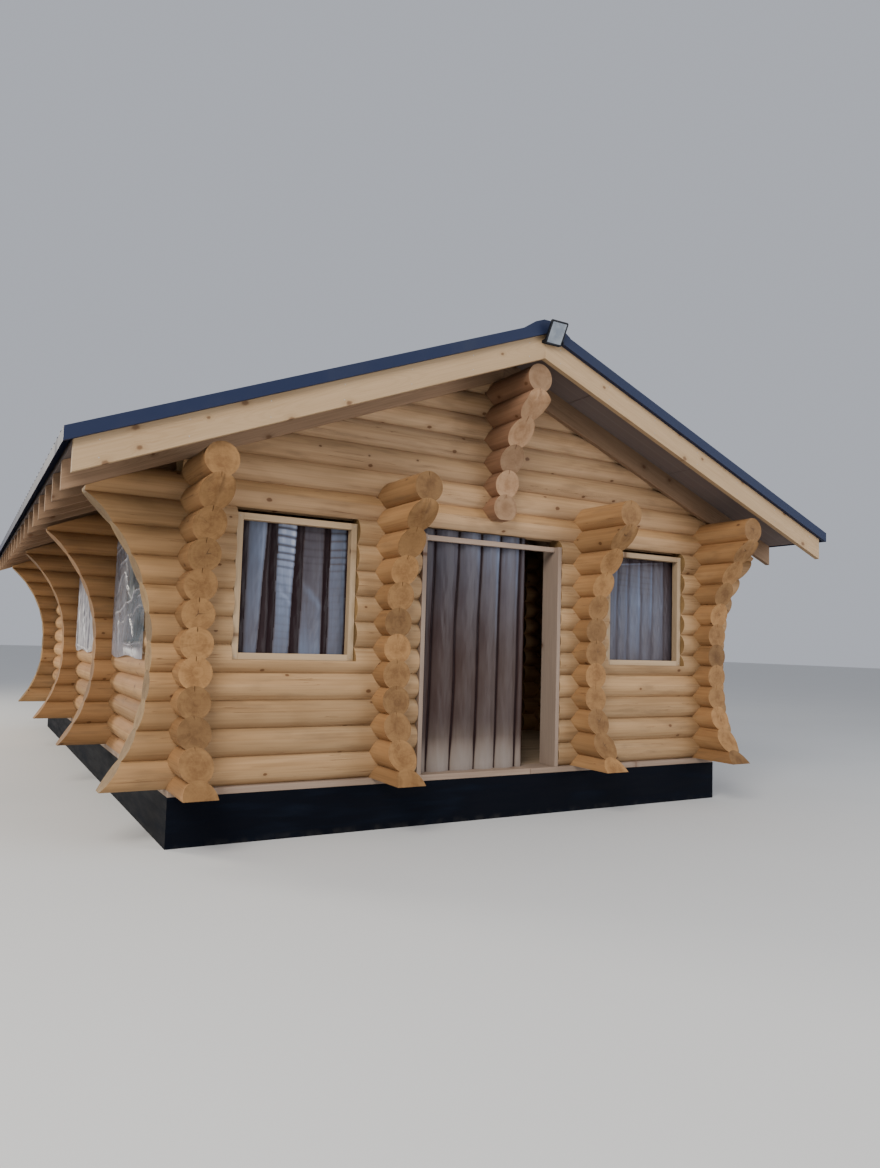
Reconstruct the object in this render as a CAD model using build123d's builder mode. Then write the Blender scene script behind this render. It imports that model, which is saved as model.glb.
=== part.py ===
"""Log bathhouse: scribed round-log walls on a strip plinth, under a gable roof.

The origin is the centre of the plan on the ground. X runs to the right along the front, Y runs to
the back and Z is up, all in millimetres. A cross log lies along X, in the front, back and cross
walls, and a side log lies along Y. Side logs lie half a course lower than cross logs.
"""
from build123d import *
import math
import os

os.makedirs("parts", exist_ok=True)

# Logs
log_d = 240.0
course = 208.0
flank_flats = 3
wall_courses = 11
gable_courses = 6
log_gap = 0.4

# Plan, between the axes of the logs
house_width = 5240.0
front_bay = 2730.0
middle_bay = 2830.0
back_bay = 2890.0
door_stack_spacing = 2060.0
door_stack_margin = 170.0
window_stack_margin = 170.0
stub_inside = 300.0

# Base
plinth_height = 360.0
plinth_width = 400.0
sill_board_height = 50.0

# Openings, with heights counted from the foot of the first log
door_courses = 10
window_corner_distance = 300.0
window_sill = 930.0
side_window_width = 1150.0
side_window_margin = 225.0
frame_gap = 5.0
seat_gap = 0.3
settling_gap = 40.0

# Log ends past the side walls: a waist between two arcs, and a nose under the eaves
side_waist = 275.0
side_waist_low = 840.0
side_waist_high = 1000.0
side_low_radius = 1350.0
side_high_radius = 1430.0
side_nose = 768.0

# Log ends past the front and back walls
end_waist = 275.0
end_waist_low = 700.0
end_waist_high = 1200.0
end_low_radius = 930.0
end_high_radius = 1268.0
end_nose = 720.0

# Ends of the short logs that carry the ridge
ridge_waist = 250.0
ridge_waist_high = 2300.0
ridge_radius = 1000.0

# Roof
rafter_thickness = 50.0
rafter_depth = 190.0
rafter_count = 16
eave_reach = 930.0
barge_thickness = 50.0
barge_depth = 195.0
barge_setback = 10.0
deck_thickness = 25.0
batten_height = 70.0
batten_width = 60.0
batten_count = 9
batten_end_margin = 60.0
sheet_thickness = 4.0
sheet_eave_overhang = 60.0
sheet_verge_overhang = 40.0
trim_thickness = 4.0
trim_face = 84.0
trim_cover = 90.0
trim_return_gap = 2.0
ridge_cap_foot = 230.0
ridge_cap_shoulder = 130.0
ridge_cap_crown = 45.0
ridge_cap_rise = 28.0

# Window and door timber, and the film behind it
frame_face = 50.0
frame_depth = 70.0
frame_setback = 50.0
jamb_depth = 230.0
jamb_thickness = 40.0
head_batten_height = 45.0
head_batten_depth = 40.0
head_batten_drop = 66.0
head_batten_front = 60.0
film_thickness = 3.0
film_lap = 25.0
door_film_share = 0.8
side_film_lap = 225.0
side_film_drop = 60.0
side_film_rise = 45.0

# Floodlight on the right barge board, beside the ridge, facing down
lamp_width = 168.0
lamp_height = 197.0
lamp_depth = 20.0
lamp_tilt = 30.0
lamp_corner = 10.0
lamp_rim = 14.0
lamp_glass_recess = 4.0
lamp_glass_gap = 0.3
lamp_glass_thickness = 3.0
lamp_ridge_offset = 49.0
lamp_rise = 4.0
lamp_clearance = 3.0
bracket_width = 24.0
bracket_thickness = 4.0
bracket_grip = 14.0

# Sizes that follow from the ones above
log_r = log_d / 2
seam_angle = math.asin(course / log_d)
house_depth = front_bay + middle_bay + back_bay
log_base = plinth_height + sill_board_height
half_width = house_width / 2
half_depth = house_depth / 2
wall_out_x = half_width + log_r
wall_out_y = half_depth + log_r
cross_wall_1 = -half_depth + front_bay
cross_wall_2 = cross_wall_1 + middle_bay
purlin_course = wall_courses + 1
ridge_course = purlin_course + gable_courses - 1
door_stack_x = door_stack_spacing / 2
door_edge = door_stack_x - log_r - door_stack_margin


def cross_log_z(number):
    """Height of the axis of a log that lies along X, the lowest being 1."""
    return log_base + (number - 0.5) * course


def side_log_z(number):
    """Height of the axis of a log that lies along Y, the lowest half log being 1."""
    return log_base + (number - 1) * course


purlin_z = side_log_z(purlin_course)
ridge_z = side_log_z(ridge_course)
roof_slope = (ridge_z - purlin_z) / half_width
roof_angle = math.degrees(math.atan(roof_slope))
plumb = 1 / math.cos(math.radians(roof_angle))


def roof_line(level, x):
    """Height at x of a line at the roof's pitch that has the given level over a wall plate."""
    return level + (half_width - abs(x)) * roof_slope


def flank_corners(radius):
    """Corners down the right flank of a log, from the seam over it to the seam under it."""
    seam_x = radius * math.cos(seam_angle)
    seam_z = radius * math.sin(seam_angle)
    angles = [seam_angle * (1 - 2 * index / flank_flats) for index in range(1, flank_flats)]
    corner_radius = radius / max(math.cos(angle) for angle in angles)
    between = [(corner_radius * math.cos(angle), corner_radius * math.sin(angle)) for angle in angles]
    return [(seam_x, seam_z), *between, (seam_x, -seam_z)]


def log_section(radius, groove_top=None, mode=Mode.ADD):
    """The section of a log, whose back is two flats that meet on top.

    Between the lower seams the foot is flat, or a groove with the same two flats as the back, whose
    top has the given height over the axis.
    """
    flank = flank_corners(radius)
    foot = []
    if groove_top is not None:
        seam_x, seam_z = flank[0]
        flank[-1] = (seam_x, groove_top - radius + seam_z)
        foot = [(0, groove_top)]
    other_flank = [(-x, z) for x, z in reversed(flank)]
    return Polygon((0, radius), *flank, *foot, *other_flank, align=None, mode=mode)


# Rafters lie on the shoulder that the slope meets first on a wall plate and on the ridge log
roof_sin = math.sin(math.radians(roof_angle))
roof_cos = math.cos(math.radians(roof_angle))
log_shoulder = max(x * roof_sin + z * roof_cos for x, z in [(0, log_r), *flank_corners(log_r)])

# Levels of the roof's layers over a wall plate
rafter_under = purlin_z + (log_shoulder + seat_gap) * plumb
deck_under = rafter_under + rafter_depth * plumb
deck_top = deck_under + deck_thickness * plumb
barge_under = deck_top - barge_depth * plumb
sheet_under = deck_top + batten_height * plumb
sheet_top = sheet_under + sheet_thickness * plumb
eave_x = half_width + eave_reach
barge_y = half_depth + end_nose + barge_setback
barge_face_y = barge_y + barge_thickness
verge_y = barge_face_y + sheet_verge_overhang


def sawn_curve(height, waist, low_z, high_z, low_radius, high_radius, nose):
    """Reach of a log end at a height over the first log's foot, along the wall's sawn outline."""
    out = waist
    if height < low_z:
        out += low_radius - math.sqrt(low_radius**2 - (low_z - height) ** 2)
    if height > high_z:
        rise = min(height - high_z, high_radius)
        out += high_radius - math.sqrt(high_radius**2 - rise**2)
    return min(out, nose)


def side_end(z):
    """Reach of a cross log past the axis of a side wall."""
    height = z - log_base
    return sawn_curve(
        height, side_waist, side_waist_low, side_waist_high, side_low_radius, side_high_radius, side_nose
    )


def front_end(z):
    """Reach of a side log past the axis of the front or back wall."""
    return sawn_curve(
        z - log_base, end_waist, end_waist_low, end_waist_high, end_low_radius, end_high_radius, end_nose
    )


def ridge_end(z):
    """Reach of a log under the ridge past the axis of the front or back wall."""
    return sawn_curve(z - log_base, ridge_waist, 0, ridge_waist_high, ridge_radius, ridge_radius, end_nose)


def section_plane(direction, across, z):
    """Plane square to a log, with its own x across the log and its y up."""
    if direction == "x":
        return Plane(origin=(0, across, z), x_dir=(0, 1, 0), z_dir=(1, 0, 0))
    return Plane(origin=(across, 0, z), x_dir=(-1, 0, 0), z_dir=(0, 1, 0))


def outline_plane(direction, across):
    """Upright plane along a log, with its own x along the log and its y the height."""
    if direction == "x":
        return Plane(origin=(0, across, 0), x_dir=(1, 0, 0), z_dir=(0, -1, 0))
    return Plane(origin=(across, 0, 0), x_dir=(0, 1, 0), z_dir=(1, 0, 0))


def cup_plane(direction, along, across, z):
    """Plane square to the log that crosses under a log, on the crossing log's axis."""
    if direction == "x":
        return Plane(origin=(along, across, z), x_dir=(-1, 0, 0), z_dir=(0, 1, 0))
    return Plane(origin=(across, along, z), x_dir=(0, 1, 0), z_dir=(1, 0, 0))


def roof_profile(low, high, inner, outer):
    """Corners of a layer on the left slope, between two levels and two plumb cuts."""
    return [
        (-outer, roof_line(low, outer)),
        (-inner, roof_line(low, inner)),
        (-inner, roof_line(high, inner)),
        (-outer, roof_line(high, outer)),
    ]


def make_log(direction, across, z, first, last, cups=(), openings=(), grooved=True, roof_level=None):
    """One log, scribed over the log under it and cupped over the logs that cross under it.

    first and last give the place of each end at a height. Each cup is the place of a crossing log,
    half a course lower. Each opening is (from, to, foot, head), cut through the log. A log with a
    roof_level is trimmed to the slopes of the roof at that level.
    """
    low = max(z - log_r, log_base)
    high = z + log_r
    with BuildPart() as log:
        with BuildSketch(section_plane(direction, across, z)):
            log_section(log_r, groove_top=log_r + log_gap - course if grooved else None)
        extrude(amount=house_depth, both=True)
        with BuildSketch(outline_plane(direction, across)):
            with BuildLine():
                Polyline(
                    (first(low), low), (last(low), low), (last(high), high), (first(high), high), close=True
                )
            make_face()
            for start, end, foot, head in openings:
                with Locations(((start + end) / 2, (foot + head) / 2)):
                    Rectangle(end - start, head - foot, mode=Mode.SUBTRACT)
            if roof_level is not None:
                with BuildLine():
                    Polyline(
                        (-house_width, 0),
                        (house_width, 0),
                        (house_width, roof_line(roof_level, house_width)),
                        (0, roof_line(roof_level, 0)),
                        (-house_width, roof_line(roof_level, house_width)),
                        close=True,
                    )
                make_face(mode=Mode.INTERSECT)
        extrude(amount=log_d, both=True, mode=Mode.INTERSECT)
        for along in cups:
            with BuildSketch(cup_plane(direction, along, across, z - course / 2)):
                log_section(log_r + log_gap)
            extrude(amount=log_d, both=True, mode=Mode.SUBTRACT)
    return log.part


def fixed(place):
    """The end of a log that is sawn square at a place."""
    return lambda z: place


def left_log_end(z):
    """Place of the left end of a cross log at a height."""
    return -half_width - side_end(z)


def right_log_end(z):
    """Place of the right end of a cross log at a height."""
    return half_width + side_end(z)


def front_log_end(z):
    """Place of the front end of a side log at a height."""
    return -half_depth - front_end(z)


def back_log_end(z):
    """Place of the back end of a side log at a height."""
    return half_depth + front_end(z)


# Openings, whose heads lie at the seams over the top logs that they cut
log_bite = (log_d - course) / 2
window_foot = log_base + window_sill
opening_head = log_base + door_courses * course
side_opening_head = opening_head - course / 2
window_outer = half_width - window_corner_distance
window_inner = door_stack_x + log_r + window_stack_margin
window_width = window_outer - window_inner
window_centre = (window_outer + window_inner) / 2
front_window = (-window_outer, -window_inner, window_foot, opening_head + log_bite)
side_window_inset = log_r + side_window_margin + side_window_width / 2
side_window_centres = [cross_wall - side_window_inset for cross_wall in (cross_wall_1, cross_wall_2)]
side_window_head = side_opening_head + log_bite
side_windows = [
    (centre - side_window_width / 2, centre + side_window_width / 2, window_foot, side_window_head)
    for centre in side_window_centres
]
wall_plate_trim = rafter_under - log_gap

# Plinth
with BuildPart() as plinth:
    with BuildSketch():
        Rectangle(2 * wall_out_x, 2 * wall_out_y)
        Rectangle(2 * (wall_out_x - plinth_width), 2 * (wall_out_y - plinth_width), mode=Mode.SUBTRACT)
    extrude(amount=plinth_height)
plinth.part.label = "plinth"
export_step(plinth.part, "parts/plinth.step")

# Boards under the walls
with BuildPart() as sill_boards:
    with BuildSketch(Plane.XY.offset(plinth_height)):
        with Locations((0, half_depth), (0, -half_depth)):
            Rectangle(2 * wall_out_x, log_d)
        with Locations((half_width, 0), (-half_width, 0)):
            Rectangle(log_d, 2 * (half_depth - log_r - log_gap))
    extrude(amount=sill_board_height)
sill_boards.part.label = "sill_boards"
export_step(sill_boards.part, "parts/sill_boards.step")

# Floor between the boards
floor_inset = log_r + log_gap
with BuildPart() as floor_deck:
    with BuildSketch(Plane.XY.offset(plinth_height)):
        Rectangle(2 * (half_width - floor_inset), 2 * (half_depth - floor_inset))
    extrude(amount=sill_board_height)
floor_deck.part.label = "floor_deck"
export_step(floor_deck.part, "parts/floor_deck.step")

# Front wall beside the door
left_of_door = [
    make_log(
        "x",
        -half_depth,
        cross_log_z(number),
        left_log_end,
        fixed(-door_edge),
        cups=(-half_width, -door_stack_x),
        openings=(front_window,),
        grooved=number > 1,
    )
    for number in range(1, door_courses + 1)
]
with BuildPart() as front_wall_left_logs:
    add(left_of_door)
front_wall_left_logs.part.label = "front_wall_left_logs"
export_step(front_wall_left_logs.part, "parts/front_wall_left_logs.step")

with BuildPart() as front_wall_right_logs:
    mirror(front_wall_left_logs.part, about=Plane.YZ)
front_wall_right_logs.part.label = "front_wall_right_logs"
export_step(front_wall_right_logs.part, "parts/front_wall_right_logs.step")

# Back wall
back_logs = [
    make_log(
        "x",
        half_depth,
        cross_log_z(number),
        left_log_end,
        right_log_end,
        cups=(-half_width, half_width),
        grooved=number > 1,
        roof_level=wall_plate_trim,
    )
    for number in range(1, wall_courses + 1)
]
with BuildPart() as back_wall_logs:
    add(back_logs)
back_wall_logs.part.label = "back_wall_logs"
export_step(back_wall_logs.part, "parts/back_wall_logs.step")


def gable_log(number, wall_y, stack_places):
    """A log between the slopes of a gable, over the wall plates and the logs under the ridge."""
    cups = [0]
    if number == purlin_course:
        cups += [-half_width, half_width, *stack_places]
    return make_log(
        "x",
        wall_y,
        cross_log_z(number),
        fixed(-wall_out_x),
        fixed(wall_out_x),
        cups=cups,
        roof_level=deck_under - log_gap,
    )


gable_numbers = range(purlin_course, purlin_course + gable_courses)

# Front gable, with the long log over the door
lintel_log = make_log(
    "x",
    -half_depth,
    cross_log_z(wall_courses),
    left_log_end,
    right_log_end,
    cups=(-half_width, -door_stack_x, door_stack_x, half_width),
    roof_level=wall_plate_trim,
)
front_gable = [gable_log(number, -half_depth, (-door_stack_x, door_stack_x)) for number in gable_numbers]
with BuildPart() as front_gable_logs:
    add([lintel_log, *front_gable])
front_gable_logs.part.label = "front_gable_logs"
export_step(front_gable_logs.part, "parts/front_gable_logs.step")

# Back gable
back_gable = [gable_log(number, half_depth, ()) for number in gable_numbers]
with BuildPart() as back_gable_logs:
    add(back_gable)
back_gable_logs.part.label = "back_gable_logs"
export_step(back_gable_logs.part, "parts/back_gable_logs.step")

# Side walls
side_cups = (-half_depth, cross_wall_1, cross_wall_2, half_depth)
left_logs = [
    make_log(
        "y",
        -half_width,
        side_log_z(number),
        front_log_end,
        back_log_end,
        cups=side_cups if number > 1 else (),
        openings=side_windows if number <= door_courses else (),
        grooved=number > 1,
    )
    for number in range(1, purlin_course)
]
with BuildPart() as left_wall_logs:
    add(left_logs)
left_wall_logs.part.label = "left_wall_logs"
export_step(left_wall_logs.part, "parts/left_wall_logs.step")

with BuildPart() as right_wall_logs:
    mirror(left_wall_logs.part, about=Plane.YZ)
right_wall_logs.part.label = "right_wall_logs"
export_step(right_wall_logs.part, "parts/right_wall_logs.step")

# Wall plates, the top logs of the side walls, which carry the rafters
plate_log = make_log("y", -half_width, purlin_z, front_log_end, back_log_end, cups=side_cups)
with BuildPart() as wall_plate_logs:
    add(plate_log)
    mirror(plate_log, about=Plane.YZ)
wall_plate_logs.part.label = "wall_plate_logs"
export_step(wall_plate_logs.part, "parts/wall_plate_logs.step")

# Stacks of short logs beside the door
door_stack = [
    make_log(
        "y",
        -door_stack_x,
        side_log_z(number),
        front_log_end,
        fixed(-half_depth + stub_inside),
        cups=(-half_depth,) if number > 1 else (),
        grooved=number > 1,
    )
    for number in range(1, purlin_course + 1)
]
with BuildPart() as door_left_stack:
    add(door_stack)
door_left_stack.part.label = "door_left_stack"
export_step(door_left_stack.part, "parts/door_left_stack.step")

with BuildPart() as door_right_stack:
    mirror(door_left_stack.part, about=Plane.YZ)
door_right_stack.part.label = "door_right_stack"
export_step(door_right_stack.part, "parts/door_right_stack.step")

# Ends of the cross walls, standing through the side walls
cross_wall_ends = [
    make_log(
        "x",
        wall_y,
        cross_log_z(number),
        left_log_end,
        fixed(-half_width + stub_inside),
        cups=(-half_width,),
        grooved=number > 1,
        roof_level=wall_plate_trim,
    )
    for wall_y in (cross_wall_1, cross_wall_2)
    for number in range(1, wall_courses + 1)
]
with BuildPart() as left_cross_wall_ends:
    add(cross_wall_ends)
left_cross_wall_ends.part.label = "left_cross_wall_ends"
export_step(left_cross_wall_ends.part, "parts/left_cross_wall_ends.step")

with BuildPart() as right_cross_wall_ends:
    mirror(left_cross_wall_ends.part, about=Plane.YZ)
right_cross_wall_ends.part.label = "right_cross_wall_ends"
export_step(right_cross_wall_ends.part, "parts/right_cross_wall_ends.step")

# Short logs under the ridge, and the ridge log that they carry
ridge_stack = [
    make_log(
        "y",
        0,
        side_log_z(number),
        lambda z: -half_depth - ridge_end(z),
        fixed(-half_depth + stub_inside),
        cups=(-half_depth,),
        grooved=number > purlin_course,
    )
    for number in range(purlin_course, ridge_course)
]
with BuildPart() as front_ridge_stack:
    add(ridge_stack)
front_ridge_stack.part.label = "front_ridge_stack"
export_step(front_ridge_stack.part, "parts/front_ridge_stack.step")

with BuildPart() as back_ridge_stack:
    mirror(front_ridge_stack.part, about=Plane.XZ)
back_ridge_stack.part.label = "back_ridge_stack"
export_step(back_ridge_stack.part, "parts/back_ridge_stack.step")

ridge_purlin_log = make_log(
    "y",
    0,
    ridge_z,
    fixed(-half_depth - end_nose),
    fixed(half_depth + end_nose),
    cups=(-half_depth, half_depth),
)
with BuildPart() as ridge_log:
    add(ridge_purlin_log)
ridge_log.part.label = "ridge_log"
export_step(ridge_log.part, "parts/ridge_log.step")

# Rafters, on the wall plate and the ridge log
end_rafter_y = wall_out_y + log_gap + rafter_thickness / 2
rafter_spacing = 2 * end_rafter_y / (rafter_count - 1)
rafter_planes = [Plane.XZ.offset(-end_rafter_y + index * rafter_spacing) for index in range(rafter_count)]
with BuildPart() as left_rafters:
    with BuildSketch(*rafter_planes):
        with BuildLine():
            Polyline(roof_profile(rafter_under, deck_under - log_gap, log_gap / 2, eave_x), close=True)
        make_face()
    extrude(amount=rafter_thickness / 2, both=True)
left_rafters.part.label = "left_rafters"
export_step(left_rafters.part, "parts/left_rafters.step")

with BuildPart() as right_rafters:
    mirror(left_rafters.part, about=Plane.YZ)
right_rafters.part.label = "right_rafters"
export_step(right_rafters.part, "parts/right_rafters.step")

# Barge boards, with a plumb joint at the ridge
with BuildPart() as front_barge_boards:
    with BuildSketch(Plane.XZ.offset(barge_y)):
        with BuildLine():
            Polyline(roof_profile(barge_under, deck_top - log_gap, log_gap / 2, eave_x), close=True)
        make_face()
    extrude(amount=barge_thickness)
    mirror(about=Plane.YZ)
front_barge_boards.part.label = "front_barge_boards"
export_step(front_barge_boards.part, "parts/front_barge_boards.step")

with BuildPart() as back_barge_boards:
    mirror(front_barge_boards.part, about=Plane.XZ)
back_barge_boards.part.label = "back_barge_boards"
export_step(back_barge_boards.part, "parts/back_barge_boards.step")

# Roof boarding over the rafters, between the barge boards
with BuildPart() as left_roof_deck:
    with BuildSketch(Plane.XZ):
        with BuildLine():
            Polyline(roof_profile(deck_under, deck_top - log_gap, log_gap / 2, eave_x), close=True)
        make_face()
    extrude(amount=barge_y - seat_gap, both=True)
left_roof_deck.part.label = "left_roof_deck"
export_step(left_roof_deck.part, "parts/left_roof_deck.step")

with BuildPart() as right_roof_deck:
    mirror(left_roof_deck.part, about=Plane.YZ)
right_roof_deck.part.label = "right_roof_deck"
export_step(right_roof_deck.part, "parts/right_roof_deck.step")

# Battens along the roof
batten_run = (eave_x - 2 * batten_end_margin) / (batten_count - 1)
with BuildPart() as roof_battens:
    with BuildSketch(Plane.XZ):
        for index in range(batten_count):
            middle = batten_end_margin + index * batten_run
            with BuildLine():
                Polyline(
                    roof_profile(
                        deck_top, sheet_under - log_gap, middle - batten_width / 2, middle + batten_width / 2
                    ),
                    close=True,
                )
            make_face()
    extrude(amount=verge_y - trim_thickness - seat_gap, both=True)
    mirror(about=Plane.YZ)
roof_battens.part.label = "roof_battens"
export_step(roof_battens.part, "parts/roof_battens.step")

# Metal covering
sheet_x = eave_x + sheet_eave_overhang
with BuildPart() as left_roof_sheet:
    with BuildSketch(Plane.XZ):
        with BuildLine():
            Polyline(roof_profile(sheet_under, sheet_top - log_gap, log_gap / 2, sheet_x), close=True)
        make_face()
    extrude(amount=verge_y - trim_thickness - seat_gap, both=True)
left_roof_sheet.part.label = "left_roof_sheet"
export_step(left_roof_sheet.part, "parts/left_roof_sheet.step")

with BuildPart() as right_roof_sheet:
    mirror(left_roof_sheet.part, about=Plane.YZ)
right_roof_sheet.part.label = "right_roof_sheet"
export_step(right_roof_sheet.part, "parts/right_roof_sheet.step")

# Folded edge strips along the verges
trim_top = sheet_top + trim_thickness * plumb
trim_under = trim_top - trim_face * plumb
with BuildPart() as front_verge_trims:
    with BuildSketch(Plane.XZ.offset(verge_y - trim_thickness)):
        with BuildLine():
            Polyline(roof_profile(trim_under, trim_top, log_gap / 2, sheet_x), close=True)
        make_face()
    extrude(amount=trim_thickness)
    with BuildSketch(Plane.XZ.offset(verge_y - trim_cover)):
        with BuildLine():
            Polyline(roof_profile(sheet_top, trim_top, log_gap / 2, sheet_x), close=True)
        make_face()
    extrude(amount=trim_cover)
    with BuildSketch(Plane.XZ.offset(barge_face_y + trim_return_gap)):
        with BuildLine():
            trim_inside = trim_under + trim_thickness * plumb
            return_end = sheet_x - trim_thickness - seat_gap
            Polyline(roof_profile(trim_under, trim_inside, log_gap / 2, return_end), close=True)
        make_face()
    extrude(amount=sheet_verge_overhang - trim_return_gap)
    mirror(about=Plane.YZ)
front_verge_trims.part.label = "front_verge_trims"
export_step(front_verge_trims.part, "parts/front_verge_trims.step")

with BuildPart() as back_verge_trims:
    mirror(front_verge_trims.part, about=Plane.XZ)
back_verge_trims.part.label = "back_verge_trims"
export_step(back_verge_trims.part, "parts/back_verge_trims.step")

# Edge strips along the eaves
with BuildPart() as eave_trims:
    with BuildSketch(Plane.XZ):
        with BuildLine():
            Polyline(
                roof_profile(trim_under, sheet_under - log_gap, sheet_x - trim_thickness, sheet_x), close=True
            )
        make_face()
        with BuildLine():
            Polyline(
                roof_profile(
                    sheet_under - log_gap - trim_thickness * plumb,
                    sheet_under - log_gap,
                    eave_x - batten_end_margin + batten_width / 2 + seat_gap,
                    sheet_x,
                ),
                close=True,
            )
        make_face()
    extrude(amount=verge_y - trim_thickness - seat_gap, both=True)
    mirror(about=Plane.YZ)
eave_trims.part.label = "eave_trims"
export_step(eave_trims.part, "parts/eave_trims.step")

# Ridge cap, a trapezoid with closed ends


def cap_line(lift):
    """The ridge cap's profile from its left foot to its right foot, lifted off the edge strips."""
    left = [
        (-ridge_cap_foot, roof_line(trim_top + lift, ridge_cap_foot)),
        (-ridge_cap_shoulder, roof_line(trim_top + lift + ridge_cap_rise, ridge_cap_shoulder)),
        (-ridge_cap_crown, roof_line(trim_top + lift + ridge_cap_rise, ridge_cap_crown)),
    ]
    return [*left, *[(-x, z) for x, z in reversed(left)]]


cap_seat = (0, roof_line(trim_top + seat_gap, 0))
with BuildPart() as ridge_cap:
    with BuildSketch(Plane.XZ):
        with BuildLine():
            Polyline(*cap_line(seat_gap), *reversed(cap_line(seat_gap + trim_thickness * plumb)), close=True)
        make_face()
    extrude(amount=verge_y, both=True)
    for end in (verge_y, trim_thickness - verge_y):
        with BuildSketch(Plane.XZ.offset(end)):
            with BuildLine():
                Polyline(*cap_line(seat_gap), cap_seat, close=True)
            make_face()
        extrude(amount=-trim_thickness)
ridge_cap.part.label = "ridge_cap"
export_step(ridge_cap.part, "parts/ridge_cap.step")


def batten_frame(places, width, foot, head):
    """Rectangular frames of battens around places, between two heights, in the sketch being built."""
    middle = (foot + head) / 2
    with Locations(*[(place, middle) for place in places]):
        Rectangle(width, head - foot)
        Rectangle(width - 2 * frame_face, head - foot - 2 * frame_face, mode=Mode.SUBTRACT)


# Window frames in the front wall, with room over them for the logs to settle
frame_foot = window_foot + seat_gap
frame_head = opening_head - settling_gap
frame_width = window_width - 2 * frame_gap
frame_back_y = wall_out_y - frame_setback - frame_depth
with BuildPart() as front_window_frames:
    with BuildSketch(Plane.XZ.offset(frame_back_y)):
        batten_frame((-window_centre, window_centre), frame_width, frame_foot, frame_head)
    extrude(amount=frame_depth)
front_window_frames.part.label = "front_window_frames"
export_step(front_window_frames.part, "parts/front_window_frames.step")

# Window frames in the side walls
side_frame_head = side_opening_head - settling_gap
side_frame_width = side_window_width - 2 * frame_gap
with BuildPart() as left_window_frames:
    with BuildSketch(Plane.YZ.offset(-wall_out_x + frame_setback)):
        batten_frame(side_window_centres, side_frame_width, frame_foot, side_frame_head)
    extrude(amount=frame_depth)
left_window_frames.part.label = "left_window_frames"
export_step(left_window_frames.part, "parts/left_window_frames.step")

with BuildPart() as right_window_frames:
    mirror(left_window_frames.part, about=Plane.YZ)
right_window_frames.part.label = "right_window_frames"
export_step(right_window_frames.part, "parts/right_window_frames.step")

# Film stapled behind the front window frames
film_width = frame_width - 2 * frame_face + 2 * film_lap
film_foot = frame_foot + frame_face - film_lap
film_head = frame_head - frame_face + film_lap
for side, place in (("left", -window_centre), ("right", window_centre)):
    with BuildPart() as front_film:
        with BuildSketch(Plane.XZ.offset(frame_back_y - seat_gap)):
            with Locations((place, (film_foot + film_head) / 2)):
                Rectangle(film_width, film_head - film_foot)
        extrude(amount=-film_thickness)
    front_film.part.label = f"front_{side}_film"
    export_step(front_film.part, f"parts/front_{side}_film.step")

# Film hung over the side windows, outside the logs and up to the next cross wall
side_film_out_x = wall_out_x + seat_gap
side_film_width = side_window_margin + side_window_width + side_film_lap
side_film_foot = window_foot - side_film_drop
side_film_head = side_opening_head + side_film_rise
for bay, cross_wall in ((1, cross_wall_1), (2, cross_wall_2)):
    film_end = cross_wall - log_r - seat_gap
    with BuildPart() as left_film:
        with BuildSketch(Plane.YZ.offset(-side_film_out_x)):
            with Locations((film_end - side_film_width / 2, (side_film_foot + side_film_head) / 2)):
                Rectangle(side_film_width, side_film_head - side_film_foot)
        extrude(amount=-film_thickness)
    left_film.part.label = f"left_film_{bay}"
    export_step(left_film.part, f"parts/left_film_{bay}.step")
    with BuildPart() as right_film:
        mirror(left_film.part, about=Plane.YZ)
    right_film.part.label = f"right_film_{bay}"
    export_step(right_film.part, f"parts/right_film_{bay}.step")

# Door frame: two deep jambs with a batten between them
jamb_out = door_edge - frame_gap
jamb_in = jamb_out - jamb_thickness
jamb_x = jamb_out - jamb_thickness / 2
batten_head = opening_head - head_batten_drop
batten_front_y = half_depth + head_batten_front
with BuildPart() as door_frame:
    with BuildSketch(Plane.XY.offset(log_base + seat_gap)):
        with Locations((-jamb_x, -half_depth), (jamb_x, -half_depth)):
            Rectangle(jamb_thickness, jamb_depth)
    extrude(amount=batten_head - log_base - seat_gap)
    with BuildSketch(Plane.XZ.offset(batten_front_y)):
        with Locations((0, batten_head - head_batten_height / 2)):
            Rectangle(2 * jamb_in, head_batten_height)
    extrude(amount=-head_batten_depth)
door_frame.part.label = "door_frame"
export_step(door_frame.part, "parts/door_frame.step")

# Film hung behind the batten, over most of the doorway
door_film_width = 2 * jamb_in * door_film_share
with BuildPart() as door_film:
    with BuildSketch(Plane.XZ.offset(batten_front_y - head_batten_depth - seat_gap)):
        with Locations((-jamb_in + seat_gap + door_film_width / 2, (log_base + opening_head) / 2)):
            Rectangle(door_film_width, opening_head - log_base - 2 * seat_gap)
    extrude(amount=-film_thickness)
door_film.part.label = "door_film"
export_step(door_film.part, "parts/door_film.step")

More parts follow.
